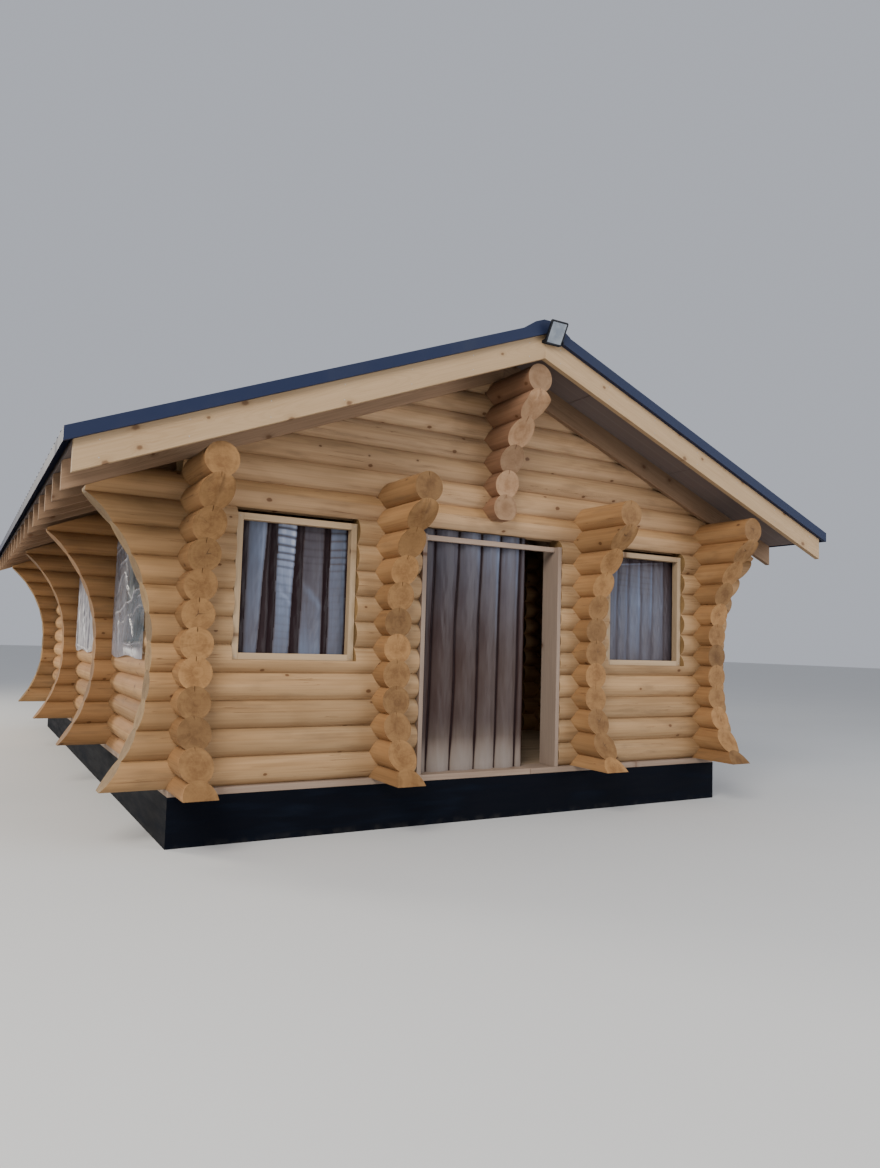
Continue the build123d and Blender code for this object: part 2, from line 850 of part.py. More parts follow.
# Floodlight, tilted down, its back clear of the edge strip under its lower right corner
tilt_sin = math.sin(math.radians(lamp_tilt))
tilt_cos = math.cos(math.radians(lamp_tilt))
lamp_z = roof_line(deck_top, 0) - lamp_ridge_offset * roof_slope + lamp_rise
trim_edge_z = roof_line(trim_under, lamp_ridge_offset + lamp_width / 2)
lamp_behind = (lamp_z + lamp_depth * tilt_sin - trim_edge_z) / tilt_cos * tilt_sin + lamp_depth * tilt_cos
lamp_y = verge_y + lamp_clearance + lamp_behind
lamp_front = Plane(
    origin=(lamp_ridge_offset, -lamp_y, lamp_z), x_dir=(1, 0, 0), z_dir=(0, -tilt_cos, -tilt_sin)
)
with BuildPart() as floodlight_body:
    with BuildSketch(lamp_front) as lamp_outline:
        Rectangle(lamp_width, lamp_height)
        chamfer(lamp_outline.vertices(), length=lamp_corner)
    extrude(amount=-lamp_depth)
    with BuildSketch(lamp_front):
        Rectangle(lamp_width - 2 * lamp_rim, lamp_height - 2 * lamp_rim)
    extrude(amount=-lamp_glass_recess, mode=Mode.SUBTRACT)
floodlight_body.part.label = "floodlight_body"
export_step(floodlight_body.part, "parts/floodlight_body.step")

glass_inset = lamp_rim + lamp_glass_gap
with BuildPart() as floodlight_glass:
    with BuildSketch(lamp_front.offset(lamp_glass_gap - lamp_glass_recess)):
        Rectangle(lamp_width - 2 * glass_inset, lamp_height - 2 * glass_inset)
    extrude(amount=lamp_glass_thickness)
floodlight_glass.part.label = "floodlight_glass"
export_step(floodlight_glass.part, "parts/floodlight_glass.step")

# Bracket: a foot on the barge board and an arm along each side of the floodlight, under the edge strip
arm_inner = lamp_width / 2 + seat_gap
arm_x = arm_inner + bracket_thickness / 2
arm_top = roof_line(trim_under, lamp_ridge_offset + arm_inner + bracket_thickness) - lamp_clearance
arm_drop = (lamp_z - arm_top + bracket_width / 2) / tilt_cos
arm_reach = lamp_y - arm_drop * tilt_sin + bracket_grip - barge_face_y
bracket_foot = Plane.XZ.offset(barge_face_y + seat_gap)
with BuildPart() as floodlight_bracket:
    with BuildSketch(bracket_foot):
        with Locations((lamp_ridge_offset, arm_top - bracket_width / 2)):
            Rectangle(2 * (arm_inner + bracket_thickness), bracket_width)
    extrude(amount=bracket_thickness)
    with BuildSketch(bracket_foot):
        with Locations(
            (lamp_ridge_offset - arm_x, arm_top - bracket_width / 2),
            (lamp_ridge_offset + arm_x, arm_top - bracket_width / 2),
        ):
            Rectangle(bracket_thickness, bracket_width)
    extrude(amount=arm_reach)
floodlight_bracket.part.label = "floodlight_bracket"
export_step(floodlight_bracket.part, "parts/floodlight_bracket.step")
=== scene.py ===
"""Dresses the log bathhouse: round scribed logs, boards, film, roof metal, and the studio round them."""
import logging
import math
from dataclasses import dataclass
from enum import Enum
from itertools import product
from typing import Callable, Iterable, Optional, Sequence

import bmesh
import bpy
import numpy as np
from mathutils import Matrix, Vector


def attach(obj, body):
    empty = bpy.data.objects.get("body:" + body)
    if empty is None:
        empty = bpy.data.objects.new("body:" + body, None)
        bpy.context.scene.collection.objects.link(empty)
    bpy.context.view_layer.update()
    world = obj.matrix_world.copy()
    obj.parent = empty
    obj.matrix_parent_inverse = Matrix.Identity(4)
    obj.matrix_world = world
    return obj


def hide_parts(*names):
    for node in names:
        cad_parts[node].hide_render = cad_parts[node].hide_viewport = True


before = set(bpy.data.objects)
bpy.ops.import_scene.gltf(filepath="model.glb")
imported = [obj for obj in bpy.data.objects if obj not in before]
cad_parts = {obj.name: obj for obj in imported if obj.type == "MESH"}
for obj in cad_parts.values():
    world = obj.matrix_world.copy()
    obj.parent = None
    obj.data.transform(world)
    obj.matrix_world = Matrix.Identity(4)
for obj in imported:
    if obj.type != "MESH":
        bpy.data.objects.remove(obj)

logging.basicConfig(level=logging.INFO, format="%(message)s")
LOG = logging.getLogger("bathhouse")

Mesh = bpy.types.Mesh
Material = bpy.types.Material
Array = np.ndarray
Pair = tuple[float, float]
Point = tuple[float, float, float]
Opening = tuple[float, float, float, float]
Colour = tuple[float, float, float]
Spot = tuple[Point, Point]
Place = Callable[[float], float]


# Shared sizes


@dataclass(frozen=True)
class House:
    """The sizes of the building that its pieces share, in metres."""

    log_radius: float = 0.12
    course: float = 0.208
    gap: float = 0.0004
    seat_gap: float = 0.0003
    log_base: float = 0.41
    half_width: float = 2.62
    half_depth: float = 4.225
    cross_walls: Pair = (-1.495, 1.335)
    door_stack: float = 1.03
    door_edge: float = 0.74
    stub: float = 0.3
    wall_courses: int = 11
    door_courses: int = 10
    gable_courses: int = 6
    rafter_depth: float = 0.19
    deck_thickness: float = 0.025
    window_sill: float = 0.93
    bite: float = 0.016
    ridge_nose: float = 0.72

    def cross_z(self, number: int) -> float:
        """Height of the axis of a cross log."""
        return self.log_base + (number - 0.5) * self.course

    def side_z(self, number: int) -> float:
        """Height of the axis of a side log."""
        return self.log_base + (number - 1) * self.course

    @property
    def plate_course(self) -> int:
        """Number of the wall plate among the side logs."""
        return self.wall_courses + 1

    @property
    def ridge_course(self) -> int:
        """Number of the ridge log among the side logs."""
        return self.plate_course + self.gable_courses - 1

    @property
    def slope(self) -> float:
        """Rise of the roof over its run."""
        rise = self.side_z(self.ridge_course) - self.side_z(self.plate_course)
        return rise / self.half_width

    @property
    def pitch(self) -> float:
        """Angle of the roof, in radians."""
        return math.atan(self.slope)

    @property
    def seam(self) -> float:
        """Angle below the level at which two logs of a wall meet, in radians."""
        return math.asin(self.course / (2 * self.log_radius))

    @property
    def rafter_under(self) -> float:
        """Level of the rafters' underside over a wall plate."""
        reach = self.log_radius * (
            math.cos(self.seam) * math.sin(self.pitch) + math.sin(self.seam) * math.cos(self.pitch)
        )
        return self.side_z(self.plate_course) + (reach + self.seat_gap) / math.cos(self.pitch)

    @property
    def deck_under(self) -> float:
        """Level of the deck's underside over a wall plate."""
        return self.rafter_under + self.rafter_depth / math.cos(self.pitch)

    def roof_z(self, level: float, x: float) -> float:
        """Height at a place across the house of the roof layer with a level over the wall plates."""
        return level + (self.half_width - abs(x)) * self.slope

    def sawn(self, z: float, waist: float, low: float, high: float, radii: Pair, nose: float) -> float:
        """Reach of a log end along the sawn outline of a wall.

        Args:
            z: height in the row's frame.
            waist: the shortest reach.
            low: height over the first log's foot where the lower arc ends.
            high: height over the first log's foot where the upper arc starts.
            radii: radii of the lower and the upper arc.
            nose: the longest reach.

        Returns:
            The reach past the wall's axis.
        """
        height = z - self.log_base
        out = waist
        if height < low:
            out += radii[0] - math.sqrt(radii[0] ** 2 - (low - height) ** 2)
        if height > high:
            rise = min(height - high, radii[1])
            out += radii[1] - math.sqrt(radii[1] ** 2 - rise**2)
        return min(out, nose)

    def side_reach(self, z: float) -> float:
        """Reach of a cross log past the side wall's axis."""
        return self.sawn(z, 0.275, 0.84, 1.0, (1.35, 1.43), 0.768)

    def front_reach(self, z: float) -> float:
        """Reach of a side log past the front wall's axis."""
        return self.sawn(z, 0.275, 0.7, 1.2, (0.93, 1.268), 0.72)

    def ridge_reach(self, z: float) -> float:
        """Reach of a short log under the ridge past the gable's axis."""
        return self.sawn(z, 0.25, 0.0, 2.3, (1.0, 1.0), self.ridge_nose)


HOUSE = House()


# Finishes


class Value:
    """A value in a material's graph, which takes the usual signs of arithmetic."""

    def __init__(self, graph: "Graph", socket: bpy.types.NodeSocket) -> None:
        """Keeps the value's socket and the graph that it is in."""
        self.graph, self.socket = graph, socket

    def __add__(self, other: object) -> "Value":
        """The sum of two numbers."""
        return self.graph.math("ADD", self, other)

    def __sub__(self, other: object) -> "Value":
        """The difference of two numbers."""
        return self.graph.math("SUBTRACT", self, other)

    def __mul__(self, other: object) -> "Value":
        """The product of two numbers."""
        return self.graph.math("MULTIPLY", self, other)

    def __truediv__(self, other: object) -> "Value":
        """One number over another."""
        return self.graph.math("DIVIDE", self, other)

    def __lt__(self, other: object) -> "Value":
        """1 where the number is the smaller one, and 0 elsewhere."""
        return self.graph.math("LESS_THAN", self, other)

    def __abs__(self) -> "Value":
        """The number without its sign."""
        return self.graph.math("ABSOLUTE", self)

    def sine(self) -> "Value":
        """The sine of an angle."""
        return self.graph.math("SINE", self)

    def cosine(self) -> "Value":
        """The cosine of an angle."""
        return self.graph.math("COSINE", self)

    def draw(self, turns: float) -> "Value":
        """A number from 0 to 1 of its own kind, drawn from a tone."""
        return self.graph.math("FRACT", self * turns)

    def fit(self, low: float, high: float, out_low: float = 0.0, out_high: float = 1.0) -> "Value":
        """The number moved smoothly from one range to another, and held inside it."""
        inputs = {"Value": self, 1: low, 2: high, 3: out_low, 4: out_high}
        return self.graph.value("ShaderNodeMapRange", inputs, interpolation_type="SMOOTHSTEP")


def add_node(tree: bpy.types.NodeTree, kind: str, inputs: dict[object, object], **settings: object) -> bpy.types.Node:
    """Adds a node to a tree.

    Args:
        tree: the tree.
        kind: Blender's name of the node type.
        inputs: plain values, sockets or values of a graph, by input name or number.
        **settings: properties of the node.

    Returns:
        The node.
    """
    made = tree.nodes.new(kind)
    for key, value in settings.items():
        setattr(made, key, value)
    for key, value in inputs.items():
        source, socket = getattr(value, "socket", value), made.inputs[key]
        if isinstance(source, bpy.types.NodeSocket):
            tree.links.new(source, socket)
        else:
            plain_colour = socket.type == "RGBA" and len(value) == 3
            socket.default_value = (*value, 1.0) if plain_colour else value
    return made


class Graph:
    """Builds the node tree of one material."""

    def __init__(self, name: str) -> None:
        """Starts an empty material.

        Args:
            name: the material's name.
        """
        self.material = bpy.data.materials.new(name)
        self.material.use_nodes = True
        self.tree = self.material.node_tree
        self.tree.nodes.clear()
        self.output = self.tree.nodes.new("ShaderNodeOutputMaterial")

    def value(self, kind: str, inputs: dict[object, object], output: object = 0, **settings: object) -> Value:
        """Adds a node, and gives one of its outputs by number or name."""
        return Value(self, add_node(self.tree, kind, inputs, **settings).outputs[output])

    def place(self) -> Value:
        """The place in the row's frame."""
        return self.value("ShaderNodeTexCoord", {}, "Object")

    def number(self, name: str) -> Value:
        """A number that the mesh carries."""
        return self.value("ShaderNodeAttribute", {}, "Fac", attribute_name=name)

    def carried(self, name: str) -> list[Value]:
        """The three numbers of a vector that the mesh carries."""
        return self.parts(self.value("ShaderNodeAttribute", {}, "Vector", attribute_name=name))

    def math(self, operation: str, a: object, b: object = 0.0) -> Value:
        """A number worked out of one or two others."""
        return self.value("ShaderNodeMath", {0: a, 1: b}, operation=operation, use_clamp=False)

    def reach(self, a: Value, b: Value) -> Value:
        """The length of a line with two legs."""
        return self.math("SQRT", a * a + b * b)

    def vector(self, x: object, y: object, z: object) -> Value:
        """A vector of three numbers."""
        return self.value("ShaderNodeCombineXYZ", {0: x, 1: y, 2: z})

    def parts(self, vector: Value) -> list[Value]:
        """The three numbers of a vector."""
        return [Value(self, part) for part in add_node(self.tree, "ShaderNodeSeparateXYZ", {0: vector}).outputs]

    def noise(self, vector: Value, scale: float, detail: float = 2.0, roughness: float = 0.5) -> Value:
        """Noise between 0 and 1 at a vector."""
        inputs = {"Vector": vector, "Scale": scale, "Detail": detail, "Roughness": roughness}
        return self.value("ShaderNodeTexNoise", inputs, "Fac")

    def stretched(
        self, place: Sequence[object], scales: Point, detail: float = 2.0, roughness: float = 0.5
    ) -> Value:
        """Noise between 0 and 1 with its own scale along each number of a place."""
        scaled = [self.math("MULTIPLY", value, scale) for value, scale in zip(place, scales)]
        return self.noise(self.vector(*scaled), 1.0, detail, roughness)

    def wander(self, along: Value, seed: Value, scale: float, size: float) -> list[Value]:
        """Two slow shifts that change along a piece.

        Args:
            along: the place along the piece.
            seed: what sets this piece's shifts apart.
            scale: how often the shifts change, per metre.
            size: the largest shift.

        Returns:
            The two shifts.
        """
        inputs = {"Vector": self.vector(along * scale, seed, 0.0), "Scale": 1.0, "Detail": 1.0}
        shifts = self.parts(self.value("ShaderNodeTexNoise", inputs, "Color"))
        return [(shift - 0.5) * size for shift in shifts[:2]]

    def mix(self, share: object, a: object, b: object, blend: str = "MIX") -> Value:
        """A mix of two colours."""
        settings = {"data_type": "RGBA", "blend_type": blend, "clamp_factor": True}
        return self.value("ShaderNodeMix", {0: share, 6: a, 7: b}, 2, **settings)

    def scaled(self, colour: Value, light: Value) -> Value:
        """A colour made lighter or darker by a number."""
        return self.mix(1.0, colour, self.vector(light, light, light), "MULTIPLY")

    def ramp(self, value: Value, stops: Sequence[tuple[float, Colour]]) -> Value:
        """A colour that follows a number.

        Args:
            value: the number.
            stops: places of the number with their colours.

        Returns:
            The colour.
        """
        made = add_node(self.tree, "ShaderNodeValToRGB", {"Fac": value})
        elements = made.color_ramp.elements
        while len(elements) < len(stops):
            elements.new(0.5)
        for element, (place, colour) in zip(elements, stops):
            element.position, element.color = place, (*colour, 1.0)
        return Value(self, made.outputs[0])

    def knots(self, along: Value, across: Value, spacing: Pair, share: float) -> tuple[Value, Value]:
        """Knots spread over a face.

        Args:
            along: the place along the grain.
            across: the place across it.
            spacing: the mean distance between knots along and across, in metres.
            share: how many of the places have a knot.

        Returns:
            The distance from the nearest knot in knot radii, and 1 where there is one.
        """
        vector = self.vector(along * (1 / spacing[0]), across * (1 / spacing[1]), 0.0)
        inputs = {"Vector": vector, "Scale": 1.0}
        cells = add_node(self.tree, "ShaderNodeTexVoronoi", inputs, voronoi_dimensions="2D").outputs
        chosen, size, _ = self.parts(Value(self, cells["Color"]))
        place_along, place_across, _ = self.parts(Value(self, cells["Position"]))
        off_along, off_across = along - place_along * spacing[0], across - place_across * spacing[1]
        distance = self.reach(off_along * 0.7, off_across)
        uneven = self.noise(self.vector(off_along, off_across, size), 60.0, 2.0) * 0.7 + 0.65
        radius = size * 0.011 + 0.008
        return distance / radius * uneven, chosen < share

    def bump(self, height: Value, distance: float, strength: float) -> Value:
        """A normal bent by a height."""
        return self.value("ShaderNodeBump", {"Height": height, "Distance": distance, "Strength": strength})

    def finish(self, **sockets: object) -> Material:
        """Adds the surface shader.

        Args:
            **sockets: numbers, colours or values of the graph by input name, with _ for a space.

        Returns:
            The material.
        """
        inputs = {key.replace("_", " "): value for key, value in sockets.items()}
        shader = add_node(self.tree, "ShaderNodeBsdfPrincipled", inputs)
        self.tree.links.new(shader.outputs[0], self.output.inputs[0])
        return self.material


class Lay(Enum):
    """Where a board's finish takes the run of its grain from."""

    OWN = "own"
    Y = "y"


@dataclass(frozen=True)
class LogFinish:
    """Bare rounded pine with sawn ends, made deeper and more orange by painted warm shade past the wall lines and near
    the corners.
    """

    name: str
    pale: Colour
    deep: Colour
    # the colour of the painted warm shade on the pale pine
    warm: Colour
    end_pale: Colour = (0.355, 0.222, 0.093)
    end_deep: Colour = (0.215, 0.12, 0.045)
    knot: Colour = (0.11, 0.045, 0.018)
    dirt: Colour = (0.16, 0.10, 0.055)
    cracked: Colour = (0.05, 0.024, 0.012)
    # how much darker the painted warm shade is in the deep streaks
    warm_deep: float = 0.66

    def flank(self, g: Graph, along: Value, across: Value, up: Value, tone: Value) -> tuple[Value, Value]:
        """The round side of a log.

        Args:
            g: the material's graph.
            along: the place along the log.
            across: the place across it.
            up: the height over its axis.
            tone: what sets this log apart.

        Returns:
            The colour and the height of its relief.
        """
        shift = tone * 53.0
        shift_x, shift_y = g.wander(along, shift, 0.45, 0.09)
        radial = g.reach(across + shift_x, up + shift_y)
        angle = g.math("ARCTAN2", up, across)
        uneven = g.noise(g.vector(along * 1.2, angle * 0.8, shift), 1.0, 2.0)
        rings = (radial * 560.0 + uneven * 9.0).sine().fit(-0.2, 1.0)
        moved = along + shift
        place = (moved, across, up)
        streaks = g.stretched(place, (1.1, 60.0, 60.0), 5.0, 0.6)
        bands = g.stretched(place, (0.35, 24.0, 24.0), 3.0)
        patches = g.stretched(place, (0.9, 7.0, 7.0))
        share = streaks.fit(0.35, 0.75) * 0.45 + rings * 0.2
        share = share + bands.fit(0.4, 0.7) * 0.25 + patches.fit(0.35, 0.75) * 0.25
        # painted warm shade: the mesh's share of it moves the pale and deep pine to the shade colours
        pale = g.mix(g.number("warm"), self.pale, self.warm)
        warm_deep = tuple(self.warm_deep * value for value in self.warm)
        colour = g.mix(share, pale, g.mix(g.number("warm"), self.deep, warm_deep))
        smudge = g.stretched(place, (2.6, 13.0, 13.0), 4.0).fit(0.53, 0.72) * 0.34
        colour = g.mix(smudge, colour, self.dirt)
        spread, chosen = g.knots(moved, angle * 0.12, (0.55, 0.21), 0.58)
        colour = g.mix(spread.fit(3.4, 1.0) * chosen * 0.42, colour, self.deep)
        heart = spread.fit(1.15, 0.7) * chosen
        colour = g.mix(heart * 0.85, colour, self.knot)
        check = g.noise(g.vector(along * 0.8, angle * 7.0, shift + 3.0), 1.0, 1.0)
        line = abs(check - 0.5).fit(0.009, 0.002)
        gate = g.noise(g.vector(along * 0.7, angle, shift), 1.3, 1.0).fit(0.54, 0.6)
        line = line * gate
        colour = g.mix(line * 0.8, colour, self.knot)
        return colour, streaks * 0.5 - (line + heart * 0.3)

    def end(self, g: Graph, across: Value, up: Value, tone: Value) -> tuple[Value, Value]:
        """The sawn end of a log.

        Args:
            g: the material's graph.
            across: the place across the log.
            up: the height over its axis.
            tone: what sets this log apart.

        Returns:
            The colour, and 1 in its cracks.
        """
        shift = tone * 53.0
        off_x = across + shift.sine() * 0.012
        off_y = up + (tone * 91.0).cosine() * 0.012
        blotch = g.noise(g.vector(off_x, off_y, shift), 12.0, 4.0, 0.6)
        radial = g.reach(off_x, off_y) + (blotch - 0.5) * 0.06
        angle = g.math("ARCTAN2", off_y, off_x)
        broad = g.noise(g.vector(radial * 55.0, shift, 0.0), 1.0, 3.0, 0.6)
        fine = (radial * 1500.0).sine().fit(-0.4, 1.0)
        share = broad.fit(0.34, 0.68) * 0.26 + fine * 0.04
        share = share + radial.fit(0.1, 0.04) * 0.26 + blotch.fit(0.4, 0.66) * 0.5
        colour = g.mix(share, self.end_pale, self.end_deep)
        spokes = g.vector(angle.cosine() * 7.0, angle.sine() * 7.0, shift + radial * 7.0)
        ray = g.noise(spokes, 1.0, 3.0).fit(0.52, 0.68) * radial.fit(0.01, 0.05)
        colour = g.mix(ray * 0.4, colour, self.end_pale)
        saw = g.stretched((across, up, shift), (9.0, 70.0, 1.0))
        colour = g.mix(saw.fit(0.45, 0.8) * 0.22, colour, self.end_deep)
        crack: object = 0.0
        for turn, size in ((17.0, 0.07), (29.0, 0.05), (43.0, 0.062)):
            off = abs(((angle - tone * turn) * 0.5).sine()) * g.reach(off_x, off_y)
            wide = radial.fit(0.0, size, 0.0016, -0.0012)
            crack = g.math("MAXIMUM", crack, (off - wide).fit(0.0011, 0.0))
        crack = crack * (tone.draw(23.0) < 0.3)
        return g.mix(crack * 0.55, colour, self.cracked), crack

    def make(self) -> Material:
        """Builds the material from each log's own coordinates.

        Returns:
            The material.
        """
        g = Graph(self.name)
        along, across, up = g.carried("grain")
        tone = g.number("tone")
        flank, relief = self.flank(g, along, across, up, tone)
        end, crack = self.end(g, across, up, tone)
        sawn = g.number("sawn")
        end = g.scaled(end, tone.draw(37.0).fit(0.0, 1.0, 0.6, 0.96))
        colour = g.scaled(g.mix(sawn, flank, end), tone.fit(0.0, 1.0, 0.86, 1.12))
        relief = relief - crack * sawn * 0.8
        return g.finish(
            Base_Color=colour,
            Roughness=relief.fit(0.0, 0.5, 0.6, 0.76),
            Normal=g.bump(relief, 0.0022, 0.6),
            Specular_IOR_Level=0.2,
        )


@dataclass(frozen=True)
class BoardFinish:
    """Sawn or planed boards with flat grain and knots."""

    name: str
    pale: Colour
    deep: Colour
    lay: Lay = Lay.OWN
    knots: float = 0.6
    spacing: Pair = (0.45, 0.2)
    roughness: float = 0.68
    knot: Colour = (0.10, 0.042, 0.018)
    vary: Pair = (0.88, 1.12)
    boards_per_metre: float = 1.9

    def make(self) -> Material:
        """Builds the material.

        Returns:
            The material.
        """
        g = Graph(self.name)
        if self.lay is Lay.OWN:
            along, across, through = g.carried("grain")
            tone = g.number("tone")
        else:
            across, along, through = g.parts(g.place())
            tone = g.math("FLOOR", across * self.boards_per_metre).draw(0.37)
        shift = tone * 53.0
        along = along + shift
        spread, chosen = g.knots(along, across + tone * 7.0, self.spacing, self.knots)
        round_knot = spread.fit(4.5, 0.6) * chosen
        shift_x, shift_y = g.wander(along, shift, 0.7, 0.16)
        radial = g.reach(across + shift_x, through + 0.05 + shift_y) + round_knot * 0.012
        rings = (radial * 780.0).sine().fit(-0.1, 1.0)
        lines = g.stretched((along, across + round_knot * 0.02, through), (1.6, 95.0, 60.0), 4.0, 0.55)
        patches = g.stretched((along, across, through), (1.1, 9.0, 9.0))
        share = lines.fit(0.25, 0.8) * 0.42 + rings * 0.16 + patches.fit(0.35, 0.75) * 0.36
        colour = g.mix(share, self.pale, self.deep)
        colour = g.mix(spread.fit(3.6, 0.9) * chosen * 0.55, colour, self.deep)
        heart = spread.fit(1.4, 0.5) * chosen
        colour = g.mix(heart * 0.72, colour, self.knot)
        colour = g.scaled(colour, tone.draw(17.0).fit(0.0, 1.0, *self.vary))
        return g.finish(
            Base_Color=colour,
            Roughness=lines.fit(0.3, 0.8, self.roughness - 0.06, self.roughness + 0.1),
            Normal=g.bump(lines * 0.6 - heart * 0.4, 0.0015, 0.5),
            Specular_IOR_Level=0.2,
        )


@dataclass(frozen=True)
class MetalFinish:
    """Coated steel with a little dust and faint roller waves."""

    name: str
    colour: Colour
    roughness: float = 0.56
    dusty: Colour = (0.05, 0.055, 0.07)

    def make(self) -> Material:
        """Builds the material.

        Returns:
            The material.
        """
        g = Graph(self.name)
        place = g.place()
        dust = g.noise(place, 2.3, 5.0, 0.6).fit(0.45, 0.8)
        waves = g.noise(place, 1.7, 1.0)
        return g.finish(
            Base_Color=g.mix(dust * 0.3, self.colour, self.dusty),
            Roughness=dust * 0.18 + self.roughness,
            Normal=g.bump(waves, 0.004, 0.3),
            Specular_IOR_Level=0.22,
        )


@dataclass(frozen=True)
class BitumenFinish:
    """Concrete under a black coat put on with a roller."""

    name: str = "bitumen_coat"
    colour: Colour = (0.0010, 0.0018, 0.0048)
    worn: Colour = (0.0035, 0.0055, 0.011)
    splashed: Colour = (0.05, 0.046, 0.04)

    def make(self) -> Material:
        """Builds the material.

        Returns:
            The material.
        """
        g = Graph(self.name)
        x, y, z = g.parts(g.place())
        roll = g.stretched((x, y, z), (2.0, 2.0, 14.0), 4.0)
        grit = g.noise(g.place(), 85.0, 4.0, 0.6)
        splash = z.fit(0.06, 0.0) * g.noise(g.place(), 9.0, 4.0).fit(0.45, 0.7)
        colour = g.mix(roll.fit(0.45, 0.8), self.colour, self.worn)
        colour = g.mix(splash * 0.3, colour, self.splashed)
        return g.finish(
            Base_Color=colour,
            Roughness=roll.fit(0.3, 0.8, 0.62, 0.85),
            Normal=g.bump(grit * 0.6 + roll * 0.5, 0.003, 0.5),
            Specular_IOR_Level=0.07,
        )


@dataclass(frozen=True)
class FilmFinish:
    """Polythene film, pale where it doubles up and dark where a room shows through it; that dark is painted into its
    colour as shade from the unlit room behind.

    Between the two drops `cool` its painted reflection comes to take less of the sky and more of the floor.
    """

    name: str
    alpha: float = 0.97
    cool: Pair = (3.0, 4.0)
    roughness: float = 0.3
    floor_light: Colour = (1.0, 0.80, 0.60)
    foot: Colour = (0.25, 0.20, 0.16)
    stops: tuple[tuple[float, Colour], ...] = (
        (0.0, (0.010, 0.003, 0.0045)),
        (0.25, (0.033, 0.021, 0.023)),
        (0.5, (0.085, 0.080, 0.097)),
        (0.7, (0.130, 0.155, 0.220)),
        (0.85, (0.25, 0.29, 0.40)),
        (1.0, (0.62, 0.66, 0.74)),
    )

    def make(self) -> Material:
        """Builds the material from the film's own width, drop and shade.

        Returns:
            The material.
        """
        g = Graph(self.name)
        width, drop, shade = g.carried("lie")
        strip = g.stretched((width, drop, 1.7), (16.0, 0.35, 1.0), 4.0)
        cloud = g.stretched((width, drop, 5.1), (5.0, 3.0, 1.0), 4.0)
        fine = g.stretched((width, drop, 0.4), (70.0, 5.0, 1.0), 3.0)
        change = (strip - 0.5) * 0.16 + (cloud - 0.5) * 0.18 + (fine - 0.5) * 0.1
        shade = shade + change * shade.fit(0.0, 0.4, 0.2, 1.0)
        # the shade picks the colour: low for the painted dark of the room and painted shade in folds, high for doubled
        # film and painted highlights
        colour = g.ramp(shade, self.stops)
        # painted reflection: warmer towards the foot, where the floor takes the sky's place
        colour = g.mix(drop.fit(*self.cool), colour, g.mix(1.0, colour, self.floor_light, "MULTIPLY"))
        foot = drop.fit(1.6, 2.02) * shade.fit(0.1, 0.55, 0.0, 0.65)
        colour = g.mix(foot, colour, self.foot)
        crinkle = g.stretched((width, drop, 0.0), (40.0, 12.0, 1.0), 3.0)
        return g.finish(
            Base_Color=colour,
            Roughness=cloud.fit(0.3, 0.7, self.roughness, self.roughness + 0.15),
            Normal=g.bump(crinkle, 0.0014, 0.6),
            Alpha=self.alpha,
            Specular_IOR_Level=0.14,
        )


@dataclass(frozen=True)
class LampGlassFinish:
    """Flat front glass with a grey-blue reflector behind it."""

    name: str = "lamp_front"
    dark: Colour = (0.15, 0.18, 0.22)
    light: Colour = (0.22, 0.25, 0.28)

    def make(self) -> Material:
        """Builds the material.

        Returns:
            The material.
        """
        g = Graph(self.name)
        haze = g.noise(g.place(), 14.0, 3.0)
        return g.finish(
            Base_Color=g.mix(haze.fit(0.35, 0.7), self.dark, self.light),
            Roughness=haze.fit(0.3, 0.7, 0.1, 0.2),
            Coat_Weight=0.4,
            Coat_Roughness=0.05,
        )


@dataclass(frozen=True)
class FloorFinish:
    """The studio's pale floor."""

    name: str = "studio_floor"
    dark: Colour = (0.60, 0.60, 0.59)
    light: Colour = (0.63, 0.63, 0.62)

    def make(self) -> Material:
        """Builds the material.

        Returns:
            The material.
        """
        g = Graph(self.name)
        grain = g.noise(g.place(), 0.7, 2.0)
        return g.finish(Base_Color=g.mix(grain, self.dark, self.light), Roughness=0.9)


WALL_LOG = LogFinish("wall_log_pine", (0.445, 0.30, 0.165), (0.29, 0.175, 0.085), (0.385, 0.222, 0.098))
STACK_ENDS = {"end_pale": (0.345, 0.188, 0.074), "end_deep": (0.185, 0.088, 0.031)}
RIDGE_ENDS = {"end_pale": (0.39, 0.24, 0.135), "end_deep": (0.25, 0.135, 0.066)}
# painted shade: the side walls, stacks, plates and cross wall ends take a deeper, more orange copy of the wall pine,
# with the darker ends above, for the warm shade on them
STACK_LOG_WARM_SHADE = LogFinish("stack_log_pine_warm_shade", (0.42, 0.25, 0.115), (0.27, 0.145, 0.06), (0.36, 0.19, 0.078), **STACK_ENDS)
# painted shade: the logs under the ridge have round sides in a darker copy of the stack pine, for the shade under the
# roof's peak
RIDGE_LOG_SHADED = LogFinish("ridge_log_pine_shaded", (0.30, 0.17, 0.095), (0.20, 0.105, 0.058), (0.28, 0.15, 0.085), **RIDGE_ENDS)
GABLE_LOG = LogFinish("gable_log_pine", (0.485, 0.325, 0.19), (0.31, 0.195, 0.107), (0.395, 0.23, 0.104))
BARGE = BoardFinish("barge_board_pine", (0.41, 0.285, 0.165), (0.31, 0.20, 0.105), knots=0.75, vary=(0.97, 1.03))
RAFTER = BoardFinish("rafter_board_pine", (0.30, 0.19, 0.115), (0.17, 0.105, 0.062), roughness=0.8)
DECK = BoardFinish(
    "roof_deck_panels", (0.16, 0.128, 0.118), (0.105, 0.084, 0.078), knots=0.0, roughness=0.85, vary=(0.8, 1.15)
)
BATTEN = BoardFinish("roof_batten_boards", (0.12, 0.075, 0.05), (0.07, 0.042, 0.03), Lay.Y, roughness=0.8)
SILL = BoardFinish("sill_board_pine", (0.33, 0.245, 0.185), (0.22, 0.15, 0.105))
